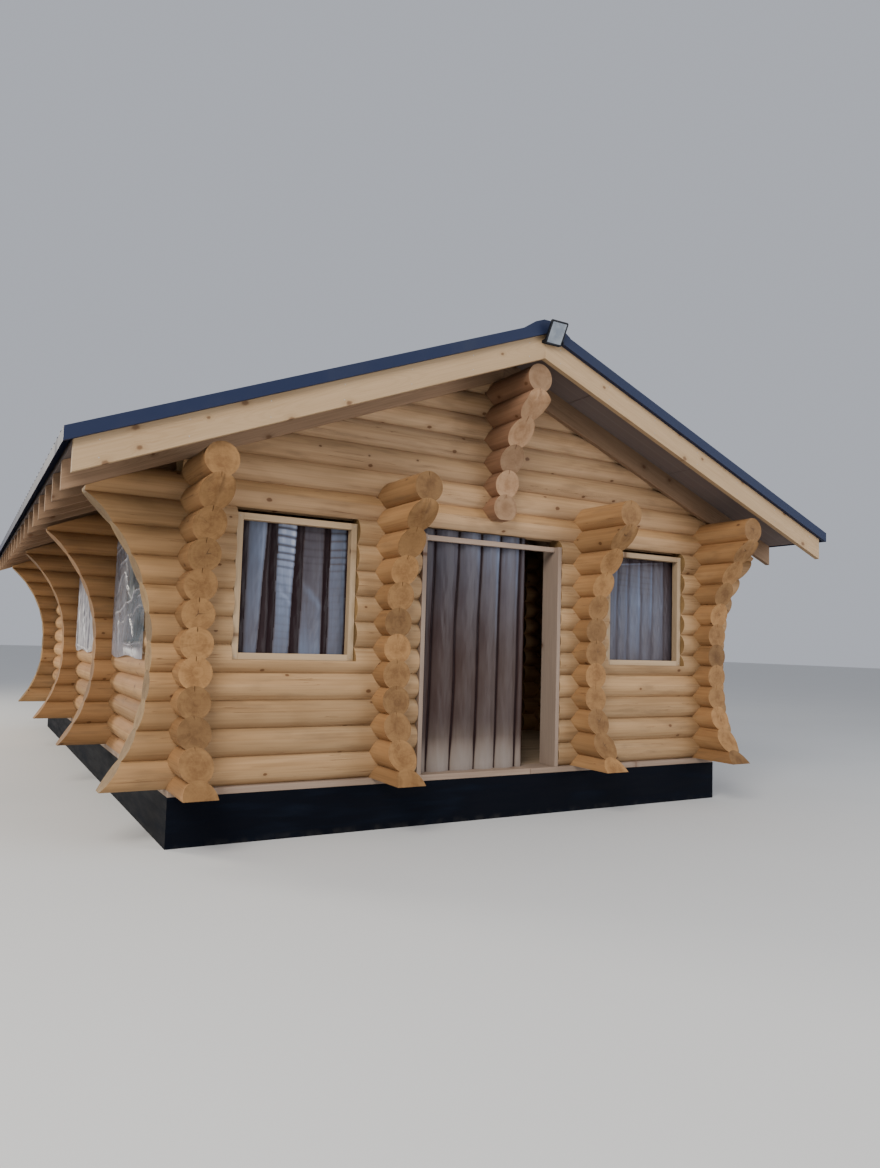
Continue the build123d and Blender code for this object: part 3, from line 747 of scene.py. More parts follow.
FLOOR = BoardFinish("floor_board_pine", (0.40, 0.30, 0.205), (0.27, 0.18, 0.11))
JAMB = BoardFinish("door_jamb_pine", (0.32, 0.24, 0.185), (0.22, 0.158, 0.12), knots=0.35, spacing=(0.5, 0.2))
FRAME = BoardFinish("frame_batten_pine", (0.43, 0.315, 0.195), (0.30, 0.205, 0.12), knots=0.35, spacing=(0.5, 0.06))
ROOF_METAL = MetalFinish("roof_metal_navy", (0.0085, 0.015, 0.046))
SCREW_METAL = MetalFinish("screw_head_navy", (0.014, 0.022, 0.058), 0.35)
ZINC = MetalFinish("zinc_screw_heads", (0.34, 0.33, 0.31), 0.4, (0.2, 0.19, 0.17))
LAMP_BODY = MetalFinish("lamp_casting_black", (0.0045, 0.0055, 0.009), 0.5, (0.02, 0.022, 0.028))
WINDOW_FILM = FilmFinish("window_film")
DOOR_FILM = FilmFinish("door_film", cool=(0.2, 1.3))
SIDE_FILM = FilmFinish(
    "side_film",
    0.72,
    roughness=0.22,
    stops=(
        (0.0, (0.020, 0.022, 0.024)),
        (0.25, (0.085, 0.105, 0.120)),
        (0.5, (0.195, 0.195, 0.225)),
        (0.7, (0.36, 0.35, 0.39)),
        (0.85, (0.56, 0.55, 0.58)),
        (1.0, (0.86, 0.86, 0.87)),
    ),
)


# Mesh helpers


def put_in_scene(name: str, data: bpy.types.ID) -> bpy.types.Object:
    """Makes an object at the origin and links it to the scene.

    Args:
        name: the object's name.
        data: its mesh, light or camera.

    Returns:
        The object.
    """
    made = bpy.data.objects.new(name, data)
    bpy.context.scene.collection.objects.link(made)
    return made


def mesh_of(name: str, shell: bmesh.types.BMesh) -> Mesh:
    """Turns a shell into a mesh, and frees it.

    Args:
        name: the mesh's name.
        shell: the shell.

    Returns:
        The mesh.
    """
    mesh = bpy.data.meshes.new(name)
    shell.to_mesh(mesh)
    shell.free()
    return mesh


def evaluated(item: bpy.types.Object) -> Mesh:
    """The plain mesh that an object's modifiers give."""
    return bpy.data.meshes.new_from_object(item.evaluated_get(bpy.context.evaluated_depsgraph_get()))


def clear(*items: bpy.types.Object) -> None:
    """Removes objects and their meshes.

    Args:
        *items: the objects.
    """
    meshes = [item.data for item in items]
    for item in items:
        bpy.data.objects.remove(item)
    for mesh in meshes:
        bpy.data.meshes.remove(mesh)


def mark(mesh: Mesh, name: str, values: Array, domain: str = "POINT") -> None:
    """Stores a number or a vector for each corner or face corner of a mesh, for its material."""
    kind, label = ("FLOAT_VECTOR", "vector") if values.ndim == 2 else ("FLOAT", "value")
    mesh.attributes.new(name, kind, domain).data.foreach_set(label, values.ravel())


def plain_piece(name: str, mesh: Mesh, material: Material, slot: str, *nodes: str) -> bpy.types.Object:
    """Puts a finished mesh in the scene.

    Args:
        name: the piece's name.
        mesh: its mesh, in the row's frame.
        material: its finish.
        slot: the record's material slot; not used.
        *nodes: the CAD nodes that it stands for.

    Returns:
        The piece.
    """
    piece = put_in_scene(name, mesh)
    piece.data.materials.clear()
    piece.data.materials.append(material)
    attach(piece, "root")
    if nodes:
        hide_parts(*nodes)
    LOG.info("%s: %d faces", name, len(mesh.polygons))
    return piece


def dress(nodes: Iterable[str], material: Material) -> None:
    """Gives CAD nodes a finish.

    Args:
        nodes: the nodes' names.
        material: the finish.
    """
    for node in nodes:
        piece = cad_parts[node]
        piece.data.materials.clear()
        piece.data.materials.append(material)
        LOG.info("%s: dressed", node)


# Logs


ON_SURFACE = 0.0012
ON_END = 0.0015
END_STEP = 0.002
ALONG, ENDWISE = 0.2, 0.7
# How far past the walls and towards the corners the painted warm shade reaches.
NOSE, NOSE_BLEND = 0.18, 0.04
CORNER, CORNER_BLEND, CORNER_SHARE = 0.45, 0.4, 0.6


class Foot(Enum):
    """How the underside of a log is shaped."""

    GROOVE = "groove"
    FLAT = "flat"
    HALF = "half"


class Run(Enum):
    """Which way a log lies."""

    CROSS = "cross"
    SIDE = "side"


def at(place: float) -> Place:
    """The end of a log that is sawn square, as a function that gives its place at any height."""
    return lambda z: place


def along_outline(side: int, wall: float, reach: Place) -> Place:
    """The end of a log that follows the sawn outline of a wall, on one side of it."""
    return lambda z: side * (wall + reach(z))


LEFT_END, RIGHT_END = (along_outline(side, HOUSE.half_width, HOUSE.side_reach) for side in (-1, 1))
FRONT_END, BACK_END = (along_outline(side, HOUSE.half_depth, HOUSE.front_reach) for side in (-1, 1))
RIDGE_END = along_outline(-1, HOUSE.half_depth, HOUSE.ridge_reach)


@dataclass(frozen=True)
class LogPlan:
    """One log: where it lies, where it ends and what is cut out of it."""

    run: Run
    across: float
    z: float
    first: Place
    last: Place
    cups: tuple[float, ...] = ()
    openings: tuple[Opening, ...] = ()
    foot: Foot = Foot.GROOVE
    roof_level: Optional[float] = None
    slot: bool = True
    slot_width: float = 0.005
    slot_floor: float = 0.086
    segments: int = 30
    groove_segments: int = 6
    past: float = 0.3
    past_roof: Pair = (4.5, 3.0)

    def section(self, radius: float, foot: Foot, slot: bool = False) -> list[Pair]:
        """Corners of the log's section, from its lower right seam over its back.

        Args:
            radius: the log's radius.
            foot: the shape of the underside.
            slot: whether a relief slot is sawn along its back.

        Returns:
            Corners as (across, up), in order round the section.
        """
        seam = HOUSE.seam
        low = 0.0 if foot is Foot.HALF else -seam
        span = math.pi - 2 * low
        count = self.segments if foot is not Foot.HALF else self.segments // 2
        arc = [low + span * index / count for index in range(count + 1)]
        corners = [(radius * math.cos(angle), radius * math.sin(angle)) for angle in arc]
        if slot:
            half = self.slot_width / 2
            top = math.sqrt(radius**2 - half**2)
            middle = len(corners) // 2
            cut = [(half, top), (half, self.slot_floor), (-half, self.slot_floor), (-half, top)]
            keep = [corner for corner in corners[:middle] if corner[0] > half]
            rest = [corner for corner in corners[middle:] if corner[0] < -half]
            corners = [*keep, *cut, *rest]
        if foot is Foot.GROOVE:
            lift = HOUSE.gap - HOUSE.course
            for index in range(1, self.groove_segments):
                angle = math.pi - seam - (math.pi - 2 * seam) * index / self.groove_segments
                corners.append((radius * math.cos(angle), radius * math.sin(angle) + lift))
        return corners

    @staticmethod
    def prism(corners: list[Pair], first: Place, last: Place) -> Mesh:
        """A closed bar of a section between two sawn ends, in the log's own coordinates.

        Args:
            corners: the section, as (across, up).
            first: place of the first end at a height over the axis.
            last: place of the last end at a height over the axis.

        Returns:
            The mesh.
        """
        count = len(corners)
        points = [(first(up), across, up) for across, up in corners]
        points += [(last(up), across, up) for across, up in corners]
        faces = [(i, (i + 1) % count, count + (i + 1) % count, count + i) for i in range(count)]
        shell = bmesh.new()
        verts = [shell.verts.new(point) for point in points]
        for face in faces:
            shell.faces.new([verts[i] for i in face])
        caps = [shell.faces.new(verts[:count][::-1]), shell.faces.new(verts[count:])]
        bmesh.ops.triangulate(shell, faces=caps)
        bmesh.ops.recalc_face_normals(shell, faces=shell.faces)
        return mesh_of("bar", shell)

    def cutters(self) -> list[list[Mesh]]:
        """What is cut out of the log, in groups whose shapes stay apart.

        Returns:
            Groups of closed meshes, in the log's own coordinates.
        """
        near, far = at(-self.past), at(self.past)
        section = self.section(HOUSE.log_radius + HOUSE.gap, Foot.FLAT)
        cups, holes, roofs = [], [], []
        for cup in self.cups:
            cups.append(self.prism(section, near, far))
            turn = Matrix.Rotation(math.pi / 2, 4, "Z")
            cups[-1].transform(Matrix.Translation((cup, 0, -HOUSE.course / 2)) @ turn)
        for start, end, foot, head in self.openings:
            if foot < self.z + HOUSE.log_radius and head > self.z - HOUSE.log_radius:
                low, high = foot - self.z, head - self.z
                corners = [(-self.past, low), (self.past, low), (self.past, high), (-self.past, high)]
                holes.append(self.prism(corners, at(start), at(end)))
        if self.roof_level is not None:
            wide, high = self.past_roof
            line = [(x, HOUSE.roof_z(self.roof_level, x) - self.z) for x in (-wide, 0.0, wide)]
            roofs.append(self.prism([*line, (wide, high), (-wide, high)], near, far))
            roofs[0].transform(Matrix.Rotation(-math.pi / 2, 4, "Z"))
        return [group for group in (cups, holes, roofs) if group]

    def shape(self) -> "LogShape":
        """Cuts the log out.

        Returns:
            The log's faces in its own coordinates.
        """
        bar = self.prism(
            self.section(HOUSE.log_radius, self.foot, self.slot),
            lambda up: self.first(self.z + up),
            lambda up: self.last(self.z + up),
        )
        log = put_in_scene("log", bar)
        spare = [log]
        for group in self.cutters():
            joined = bmesh.new()
            for mesh in group:
                joined.from_mesh(mesh)
                bpy.data.meshes.remove(mesh)
            tool = put_in_scene("cut", mesh_of("cut", joined))
            spare.append(tool)
            cut = log.modifiers.new("cut", "BOOLEAN")
            cut.operation, cut.solver, cut.object = "DIFFERENCE", "EXACT", tool
        made = evaluated(log)
        shape = LogShape.read(self, made)
        bpy.data.meshes.remove(made)
        clear(*spare)
        return shape


@dataclass
class LogShape:
    """The faces of one log in its own coordinates, with a normal for each corner."""

    plan: LogPlan
    points: Array
    faces: list[list[int]]
    normals: list[Array]
    sawn: list[float]

    @staticmethod
    def read(plan: LogPlan, mesh: Mesh) -> "LogShape":
        """Reads a cut log and works out the normals of its round faces.

        Args:
            plan: the log's plan.
            mesh: its cut mesh.

        Returns:
            The shape.
        """
        shape = LogShape(plan, np.array([vertex.co[:] for vertex in mesh.vertices]), [], [], [])
        for polygon in mesh.polygons:
            corners = list(polygon.vertices)
            sawn, normals = shape.corner_normals(shape.points[corners], np.array(polygon.normal[:]))
            shape.faces.append(corners)
            shape.normals.append(normals)
            shape.sawn.append(sawn)
        return shape

    @staticmethod
    def round_normals(places: Array, axis: tuple[object, object, object], radius: float) -> Optional[Array]:
        """Normals of a face that lies on a round surface.

        Args:
            places: the face's corners.
            axis: a place on the surface's axis, with None for the direction in which it runs.
            radius: the surface's radius.

        Returns:
            A normal away from the axis at each corner, or None where the face lies elsewhere.
        """
        away = np.column_stack([places[:, i] * 0.0 if axis[i] is None else places[:, i] - axis[i] for i in range(3)])
        reach = np.linalg.norm(away, axis=1)
        return away / reach[:, None] if np.all(np.abs(reach - radius) < ON_SURFACE) else None

    def corner_normals(self, places: Array, flat: Array) -> tuple[float, Array]:
        """Finds which surface of the log a face lies on.

        Args:
            places: the face's corners.
            flat: the face's own normal.

        Returns:
            1 for a sawn end and 0 for any other face, and a normal for each corner.
        """
        radius, plan = HOUSE.log_radius, self.plan
        if abs(flat[0]) < ALONG:
            for foot, way in ((0.0, 1.0), (HOUSE.gap - HOUSE.course, -1.0)):
                normals = self.round_normals(places, (None, 0.0, foot), radius)
                if normals is not None:
                    return 0.0, way * normals
        for cup in plan.cups:
            normals = self.round_normals(places, (cup, None, -HOUSE.course / 2), radius + HOUSE.gap)
            if normals is not None:
                return 0.0, -normals
        for side, end in ((-1, plan.first), (1, plan.last)):
            reach = np.array([end(plan.z + up) for up in places[:, 2]])
            if np.all(np.abs(places[:, 0] - reach) < ON_END) and flat[0] * side > 0.1:
                heights = [plan.z + up for up in places[:, 2]]
                rise = np.array([end(z + END_STEP) - end(z - END_STEP) for z in heights])
                lean = np.clip(rise / (2 * END_STEP), -3.0, 3.0)
                out = np.column_stack([np.ones(len(places)), np.zeros(len(places)), -lean]) * side
                return 1.0, out / np.linalg.norm(out, axis=1)[:, None]
        return float(abs(flat[0]) > ENDWISE), np.repeat(flat[None, :], len(places), axis=0)


class Pile:
    """Gathers logs or boards for one mesh, with what their material needs to know of them."""

    def __init__(self, seed: int) -> None:
        """Starts an empty pile.

        Args:
            seed: what the tones follow.
        """
        self.random = np.random.default_rng(seed)
        self.parts: list[tuple[Array, Array, Array]] = []
        self.faces: list[list[int]] = []
        self.count = 0

    def lay(self, points: Array, faces: Iterable[Sequence[int]], grain: Array) -> None:
        """Lays one log or board on the pile.

        Args:
            points: its corners, in the row's frame.
            faces: its faces.
            grain: its corners in its own coordinates, along the grain first.
        """
        self.faces.extend([self.count + corner for corner in face] for face in faces)
        self.parts.append((points, grain, np.full(len(points), self.random.uniform(0.0, 1.0))))
        self.count += len(points)

    def mesh(self, name: str, toned: bool = True) -> Mesh:
        """Makes the pile one mesh.

        Args:
            name: the mesh's name.
            toned: whether its parts carry tones, which a repeated shape doesn't.

        Returns:
            The mesh.
        """
        points, grain, tone = (np.concatenate(values) for values in zip(*self.parts))
        mesh = bpy.data.meshes.new(name)
        mesh.from_pydata(points.tolist(), [], self.faces)
        mark(mesh, "grain", grain)
        if toned:
            mark(mesh, "tone", tone)
        return mesh


class LogPile(Pile):
    """Gathers the logs of one node into one mesh."""

    def __init__(self, seed: int) -> None:
        """Starts an empty pile.

        Args:
            seed: what the tones follow.
        """
        super().__init__(seed)
        self.normals: list[Point] = []
        self.warm: list[Array] = []
        self.sawn: list[float] = []

    def add(self, shape: LogShape, mirror_x: bool = False, mirror_y: bool = False, shift_y: float = 0.0) -> None:
        """Lays one log in its place.

        Args:
            shape: the log.
            mirror_x: lays it on the other side of the ridge.
            mirror_y: lays it at the other gable.
            shift_y: moves it towards the back.
        """
        plan = shape.plan
        cross = plan.run is Run.CROSS
        turn = np.eye(3) if cross else np.array([[0.0, -1.0, 0.0], [1.0, 0.0, 0.0], [0.0, 0.0, 1.0]])
        flip = np.diag([-1.0 if mirror_x else 1.0, -1.0 if mirror_y else 1.0, 1.0])
        whole = flip @ turn
        axis = np.array((0.0, plan.across, plan.z) if cross else (plan.across, 0.0, plan.z))
        places = shape.points @ whole.T + flip @ axis + np.array([0.0, shift_y, 0.0])
        order = -1 if mirror_x != mirror_y else 1
        for corners, normals, sawn in zip(shape.faces, shape.normals, shape.sawn):
            self.normals.extend(tuple(whole @ normal) for normal in normals[::order])
            self.sawn.extend([sawn] * len(corners))
        offset = self.random.uniform(-20.0, 20.0)
        side = self.random.choice([-1.0, 1.0])
        grain = shape.points * np.array([1.0, side, 1.0]) + np.array([offset, 0.0, 0.0])
        self.lay(places, [corners[::order] for corners in shape.faces], grain)
        # the share of painted warm shade: full where the log reaches past the walls, and up to CORNER_SHARE on cross
        # logs near the corners
        past_x, past_y = np.abs(places[:, 0]) - HOUSE.half_width, np.abs(places[:, 1]) - HOUSE.half_depth
        warm = np.clip((np.maximum(past_x - NOSE, past_y - HOUSE.log_radius)) / NOSE_BLEND + 0.5, 0.0, 1.0)
        if cross:
            warm = np.maximum(warm, CORNER_SHARE * np.clip((past_x + CORNER) / CORNER_BLEND, 0.0, 1.0))
        self.warm.append(warm)

    def piece(self, name: str, finish: Material, slot: str, node: str) -> None:
        """Makes the pile one piece that stands for its node.

        Args:
            name: the piece's name.
            finish: its material.
            slot: the record's material slot.
            node: the CAD node that it stands for.
        """
        mesh = self.mesh(name)
        # stores the share of painted warm shade for the material
        mark(mesh, "warm", np.concatenate(self.warm))
        mark(mesh, "sawn", np.array(self.sawn), "CORNER")
        mesh.shade_smooth()
        mesh.normals_split_custom_set(self.normals)
        plain_piece(name, mesh, finish, slot, node)


@dataclass
class Walls:
    """The log walls, their corners and the stacks of short logs."""

    wall_log: Material
    stack_log: Material
    gable_log: Material
    ridge_log: Material
    window_corner: float = 0.3
    window_margin: float = 0.17
    side_window_width: float = 1.15
    side_window_margin: float = 0.225

    @property
    def plate_trim(self) -> float:
        """Level to which the logs under the rafters are trimmed."""
        return HOUSE.rafter_under - HOUSE.gap

    @property
    def front_window(self) -> Opening:
        """The window left of the door, as from, to, foot and head."""
        head = HOUSE.log_base + HOUSE.door_courses * HOUSE.course + HOUSE.bite
        inner = HOUSE.door_stack + HOUSE.log_radius + self.window_margin
        return -(HOUSE.half_width - self.window_corner), -inner, HOUSE.log_base + HOUSE.window_sill, head

    @property
    def side_windows(self) -> tuple[Opening, ...]:
        """The side windows, as from, to, foot and head."""
        head = HOUSE.log_base + (HOUSE.door_courses - 0.5) * HOUSE.course + HOUSE.bite
        found = []
        for wall in HOUSE.cross_walls:
            end = wall - HOUSE.log_radius - self.side_window_margin
            found.append((end - self.side_window_width, end, HOUSE.log_base + HOUSE.window_sill, head))
        return tuple(found)

    def cross(self, number: int, y: float, first: Place, last: Place, **more: object) -> LogShape:
        """A log of the front, back or cross wall."""
        foot = Foot.GROOVE if number > 1 else Foot.FLAT
        return LogPlan(Run.CROSS, y, HOUSE.cross_z(number), first, last, foot=foot, **more).shape()

    def side(self, number: int, x: float, first: Place, last: Place, **more: object) -> LogShape:
        """A log of a side wall or of a stack."""
        more.setdefault("foot", Foot.GROOVE if number > 1 else Foot.HALF)
        return LogPlan(Run.SIDE, x, HOUSE.side_z(number), first, last, **more).shape()

    @staticmethod
    def twins(
        seeds: tuple[int, int],
        shapes: Iterable[LogShape],
        name: str,
        node: str,
        finish: Material,
        slot: str = "stack_log",
        labels: tuple[str, str] = ("left", "right"),
        flip: str = "mirror_x",
        shifts: tuple[float, ...] = (0.0,),
    ) -> None:
        """Makes two pieces of the same logs, the second one mirrored.

        Args:
            seeds: what the tones of each follow.
            shapes: the logs of the first one.
            name: the pieces' name, with braces for the label.
            node: the name of the CAD nodes that they stand for, with braces for the label.
            finish: their material.
            slot: the record's material slot.
            labels: what tells the two apart.
            flip: the way in which the second one is mirrored.
            shifts: where each log is laid again, towards the back.
        """
        piles = [LogPile(seed) for seed in seeds]
        for shape in shapes:
            for shift in shifts:
                piles[0].add(shape, shift_y=shift)
                piles[1].add(shape, shift_y=shift, **{flip: True})
        for pile, label in zip(piles, labels):
            pile.piece(name.format(label), finish, slot, node.format(label))

    def build_front(self) -> None:
        """Builds the front wall beside the door."""
        cups = (-HOUSE.half_width, -HOUSE.door_stack)
        more = {"cups": cups, "openings": (self.front_window,)}
        y, end = -HOUSE.half_depth, at(-HOUSE.door_edge)
        logs = (self.cross(number, y, LEFT_END, end, **more) for number in range(1, HOUSE.door_courses + 1))
        self.twins((11, 12), logs, "front_wall_{}_round_logs", "front_wall_{}_logs", self.wall_log, "wall_log")

    def build_back(self) -> None:
        """Builds the back wall."""
        pile = LogPile(13)
        more = {"cups": (-HOUSE.half_width, HOUSE.half_width), "roof_level": self.plate_trim}
        for number in range(1, HOUSE.wall_courses + 1):
            pile.add(self.cross(number, HOUSE.half_depth, LEFT_END, RIGHT_END, **more))
        pile.piece("back_wall_round_logs", self.wall_log, "wall_log", "back_wall_logs")

    def side_logs(self) -> Iterable[LogShape]:
        """The logs of the left side wall below its plate."""
        cups = (-HOUSE.half_depth, *HOUSE.cross_walls, HOUSE.half_depth)
        for number in range(1, HOUSE.wall_courses + 1):
            openings = self.side_windows if number <= HOUSE.door_courses else ()
            more = {"cups": cups if number > 1 else (), "openings": openings}
            yield self.side(number, -HOUSE.half_width, FRONT_END, BACK_END, **more)

    def build_sides(self) -> None:
        """Builds the side walls and the wall plates on them."""
        self.twins((21, 22), self.side_logs(), "{}_wall_round_logs", "{}_wall_logs", self.stack_log)
        plates = LogPile(23)
        more = {"cups": (-HOUSE.half_depth, *HOUSE.cross_walls, HOUSE.half_depth), "slot": False}
        plate = self.side(HOUSE.plate_course, -HOUSE.half_width, FRONT_END, BACK_END, **more)
        plates.add(plate)
        plates.add(plate, mirror_x=True)
        plates.piece("wall_plate_round_logs", self.stack_log, "stack_log", "wall_plate_logs")

    def build_gables(self) -> None:
        """Builds the gables, with the long log over the door in the front one."""
        edge = HOUSE.half_width + HOUSE.log_radius
        trim = HOUSE.deck_under - HOUSE.gap
        for name, y, stacks, seed in (
            ("front", -HOUSE.half_depth, (-HOUSE.door_stack, HOUSE.door_stack), 31),
            ("back", HOUSE.half_depth, (), 32),
        ):
            pile = LogPile(seed)
            if stacks:
                more = {"cups": (-HOUSE.half_width, *stacks, HOUSE.half_width), "roof_level": self.plate_trim}
                pile.add(self.cross(HOUSE.wall_courses, y, LEFT_END, RIGHT_END, **more))
            for number in range(HOUSE.plate_course, HOUSE.plate_course + HOUSE.gable_courses):
                cups = (0.0,)
                if number == HOUSE.plate_course:
                    cups = (0.0, -HOUSE.half_width, HOUSE.half_width, *stacks)
                pile.add(self.cross(number, y, at(-edge), at(edge), cups=cups, roof_level=trim))
            pile.piece(f"{name}_gable_round_logs", self.gable_log, "gable_log", f"{name}_gable_logs")

    def build_stacks(self) -> None:
        """Builds the stacks beside the door, the cross walls' ends and the logs under the ridge."""
        wall = (-HOUSE.half_depth,)
        inner = at(-HOUSE.half_depth + HOUSE.stub)
        logs = (
            self.side(number, -HOUSE.door_stack, FRONT_END, inner, cups=wall if number > 1 else ())
            for number in range(1, HOUSE.plate_course + 1)
        )
        self.twins((41, 42), logs, "door_{}_round_stack", "door_{}_stack", self.stack_log)

        first, second = HOUSE.cross_walls
        more = {"cups": (-HOUSE.half_width,), "roof_level": self.plate_trim}
        end = at(-HOUSE.half_width + HOUSE.stub)
        logs = (self.cross(number, first, LEFT_END, end, **more) for number in range(1, HOUSE.wall_courses + 1))
        names = ("{}_cross_wall_round_ends", "{}_cross_wall_ends")
        self.twins((43, 44), logs, *names, self.stack_log, shifts=(0.0, second - first))

        logs = (
            self.side(number, 0.0, RIDGE_END, inner, cups=wall, foot=foot)
            for number, foot in zip(
                range(HOUSE.plate_course, HOUSE.ridge_course), (Foot.FLAT, *[Foot.GROOVE] * HOUSE.gable_courses)
            )
        )
        names = ("{}_ridge_round_stack", "{}_ridge_stack")
        self.twins((45, 46), logs, *names, self.ridge_log, labels=("front", "back"), flip="mirror_y")
        ridge = LogPile(47)
        ends = HOUSE.half_depth + HOUSE.ridge_nose
        more = {"cups": (-HOUSE.half_depth, HOUSE.half_depth), "slot": False}
        ridge.add(self.side(HOUSE.ridge_course, 0.0, at(-ends), at(ends), **more))
        ridge.piece("ridge_round_log", self.ridge_log, "stack_log", "ridge_log")

    def build(self) -> None:
        """Builds every log."""
        self.build_front()
        self.build_back()
        self.build_sides()
        self.build_gables()
        self.build_stacks()


# Boards and what repeats


class BoardPile(Pile):
    """Gathers straight boards with eased edges into one mesh."""

    def add(self, corners: Sequence[Point], depth: Point, along: Point, bevel: float = 0.0018) -> None:
        """Adds one board.

        Args:
            corners: the outline of one of its faces, in order.
            depth: the way from that face to the opposite one.
            along: the direction of the grain.
            bevel: the width of the eased edges.
        """
        count = len(corners)
        shell = bmesh.new()
        verts = [shell.verts.new(Vector(corner)) for corner in corners]
        verts += [shell.verts.new(Vector(corner) + Vector(depth)) for corner in corners]
        for i in range(count):
            shell.faces.new([verts[i], verts[(i + 1) % count], verts[count + (i + 1) % count], verts[count + i]])
        shell.faces.new(verts[:count][::-1])
        shell.faces.new(verts[count:])
        bmesh.ops.recalc_face_normals(shell, faces=shell.faces)
        eased = {"offset": bevel, "segments": 1, "profile": 0.5, "affect": "EDGES", "clamp_overlap": True}
        bmesh.ops.bevel(shell, geom=list(shell.edges), **eased)
        bmesh.ops.recalc_face_normals(shell, faces=shell.faces)
        board = mesh_of("board", shell)
        run, through = Vector(along).normalized(), Vector(depth).normalized()
        axes = np.array([run[:], through.cross(run)[:], through[:]])
        points = np.array([vertex.co[:] for vertex in board.vertices])
        grain = (points - np.mean(np.array(corners), axis=0)) @ axes.T
        self.lay(points, [polygon.vertices for polygon in board.polygons], grain)
        bpy.data.meshes.remove(board)

    def block(self, low: Point, high: Point, along: Point, bevel: float = 0.0018) -> None:
        """Adds a board between two corners, square to the house.

        Args:
            low: its lowest corner.
            high: its highest corner.
            along: the direction of the grain.
            bevel: the width of the eased edges.
        """
        sizes = [b - a for a, b in zip(low, high)]
        thin = min(range(3), key=lambda axis: sizes[axis])
        one, two = [axis for axis in range(3) if axis != thin]
        corners = []
        for share_one, share_two in ((0, 0), (1, 0), (1, 1), (0, 1)):
            corner = list(low)
            corner[one] += sizes[one] * share_one
            corner[two] += sizes[two] * share_two
            corners.append(tuple(corner))
        depth = tuple(sizes[thin] if axis == thin else 0.0 for axis in range(3))
        self.add(corners, depth, along, bevel)


class Spread(Enum):
    """What a repeated shape is put on."""

    LINE = "line"
    PLACES = "places"


class Repeater:
    """A geometry tree that repeats a shape along a line or on marked places."""

    def __init__(self, spread: Spread) -> None:
        """Builds the tree.

        Args:
            spread: what the shape is put on.
        """
        self.tree = bpy.data.node_groups.new(f"repeat_on_{spread.value}", "GeometryNodeTree")
        self.sockets: dict[str, str] = {}
        face = self.tree.interface
        face.new_socket(name="Places", in_out="INPUT", socket_type="NodeSocketGeometry")
        kinds = {"Shape": "Object", "Finish": "Material", "Count": "Int", "Start": "Vector", "Step": "Vector"}
        for label, kind in {**kinds, "Seed": "Int"}.items():
            socket = face.new_socket(name=label, in_out="INPUT", socket_type=f"NodeSocket{kind}")
            self.sockets[label] = socket.identifier
        face.new_socket(name="Pieces", in_out="OUTPUT", socket_type="NodeSocketGeometry")
        given = add_node(self.tree, "NodeGroupInput", {}).outputs
        inputs = {"Object": given["Shape"]}
        shape = add_node(self.tree, "GeometryNodeObjectInfo", inputs, transform_space="ORIGINAL").outputs
        put = {"Instance": shape["Geometry"]}
        if spread is Spread.LINE:
            line = {"Count": given["Count"], "Start Location": given["Start"], "Offset": given["Step"]}
            put["Points"] = self.first("GeometryNodeMeshLine", line, mode="OFFSET", count_mode="TOTAL")
        else:
            turn = self.first("GeometryNodeInputNamedAttribute", {"Name": "turn"}, data_type="FLOAT_VECTOR")
            put["Rotation"] = self.first("FunctionNodeEulerToRotation", {0: turn})
            put["Points"] = given["Places"]
        seed = {"Seed": given["Seed"]}
        chance = add_node(self.tree, "FunctionNodeRandomValue", seed, data_type="FLOAT").outputs[1]
        toned = {"Geometry": self.first("GeometryNodeInstanceOnPoints", put), "Name": "tone", "Value": chance}
        keep = self.first("GeometryNodeStoreNamedAttribute", toned, data_type="FLOAT", domain="INSTANCE")
        coated = {"Geometry": self.first("GeometryNodeRealizeInstances", {0: keep}), "Material": given["Finish"]}
        add_node(self.tree, "NodeGroupOutput", {0: self.first("GeometryNodeSetMaterial", coated)})

    def first(self, kind: str, inputs: dict[object, object], **settings: object) -> bpy.types.NodeSocket:
        """Adds a node, and gives its first output."""
        return add_node(self.tree, kind, inputs, **settings).outputs[0]

    def piece(
        self,
        name: str,
        shape: Mesh,
        finish: Material,
        slot: str,
        *nodes: str,
        spots: Sequence[Spot] = (),
        **inputs: object,
    ) -> None:
        """Makes one piece of the copies of a shape.

        Args:
            name: the piece's name.
            shape: what is repeated.
            finish: its material.
            slot: the record's material slot.
            *nodes: the CAD nodes that it stands for.
            spots: each place with the turn of the shape there, for a tree that uses them.
            **inputs: other inputs of the tree by name.
        """
        places = bpy.data.meshes.new("places")
        if spots:
            places.from_pydata([place for place, _ in spots], [], [])
            mark(places, "turn", np.array([turn for _, turn in spots], dtype=float))
        base, carrier = put_in_scene("repeated_shape", shape), put_in_scene("repeated_places", places)
        modifier = carrier.modifiers.new("repeat", "NODES")
        modifier.node_group = self.tree
        for label, value in {"Shape": base, "Finish": finish, "Seed": 1, **inputs}.items():
            modifier[self.sockets[label]] = value
        mesh = evaluated(carrier)
        carrier.modifiers.remove(modifier)
        clear(base, carrier)
        plain_piece(name, mesh, finish, slot, *nodes)


def screw_shape(washer: float, head: float, height: float) -> Mesh:
    """A six-sided screw head on a washer, which stands up from the origin.

    Args:
        washer: the washer's radius.
        head: the head's radius.
        height: the head's height over the washer.

    Returns:
        The mesh.
    """
    shell = bmesh.new()
    taper, rise = 0.86, washer * 0.22
    for count, radius, low, high in ((10, washer, 0.0, rise), (6, head, rise, rise + height)):
        sizes = {"segments": count, "radius1": radius, "radius2": radius * taper, "depth": high - low}
        lift = Matrix.Translation((0, 0, (low + high) / 2))
        bmesh.ops.create_cone(shell, cap_ends=True, matrix=lift, **sizes)
    return mesh_of("screw", shell)


def spaced(first: float, step: float, count: int) -> list[float]:
    """Evenly spaced places."""
    return [first + step * index for index in range(count)]


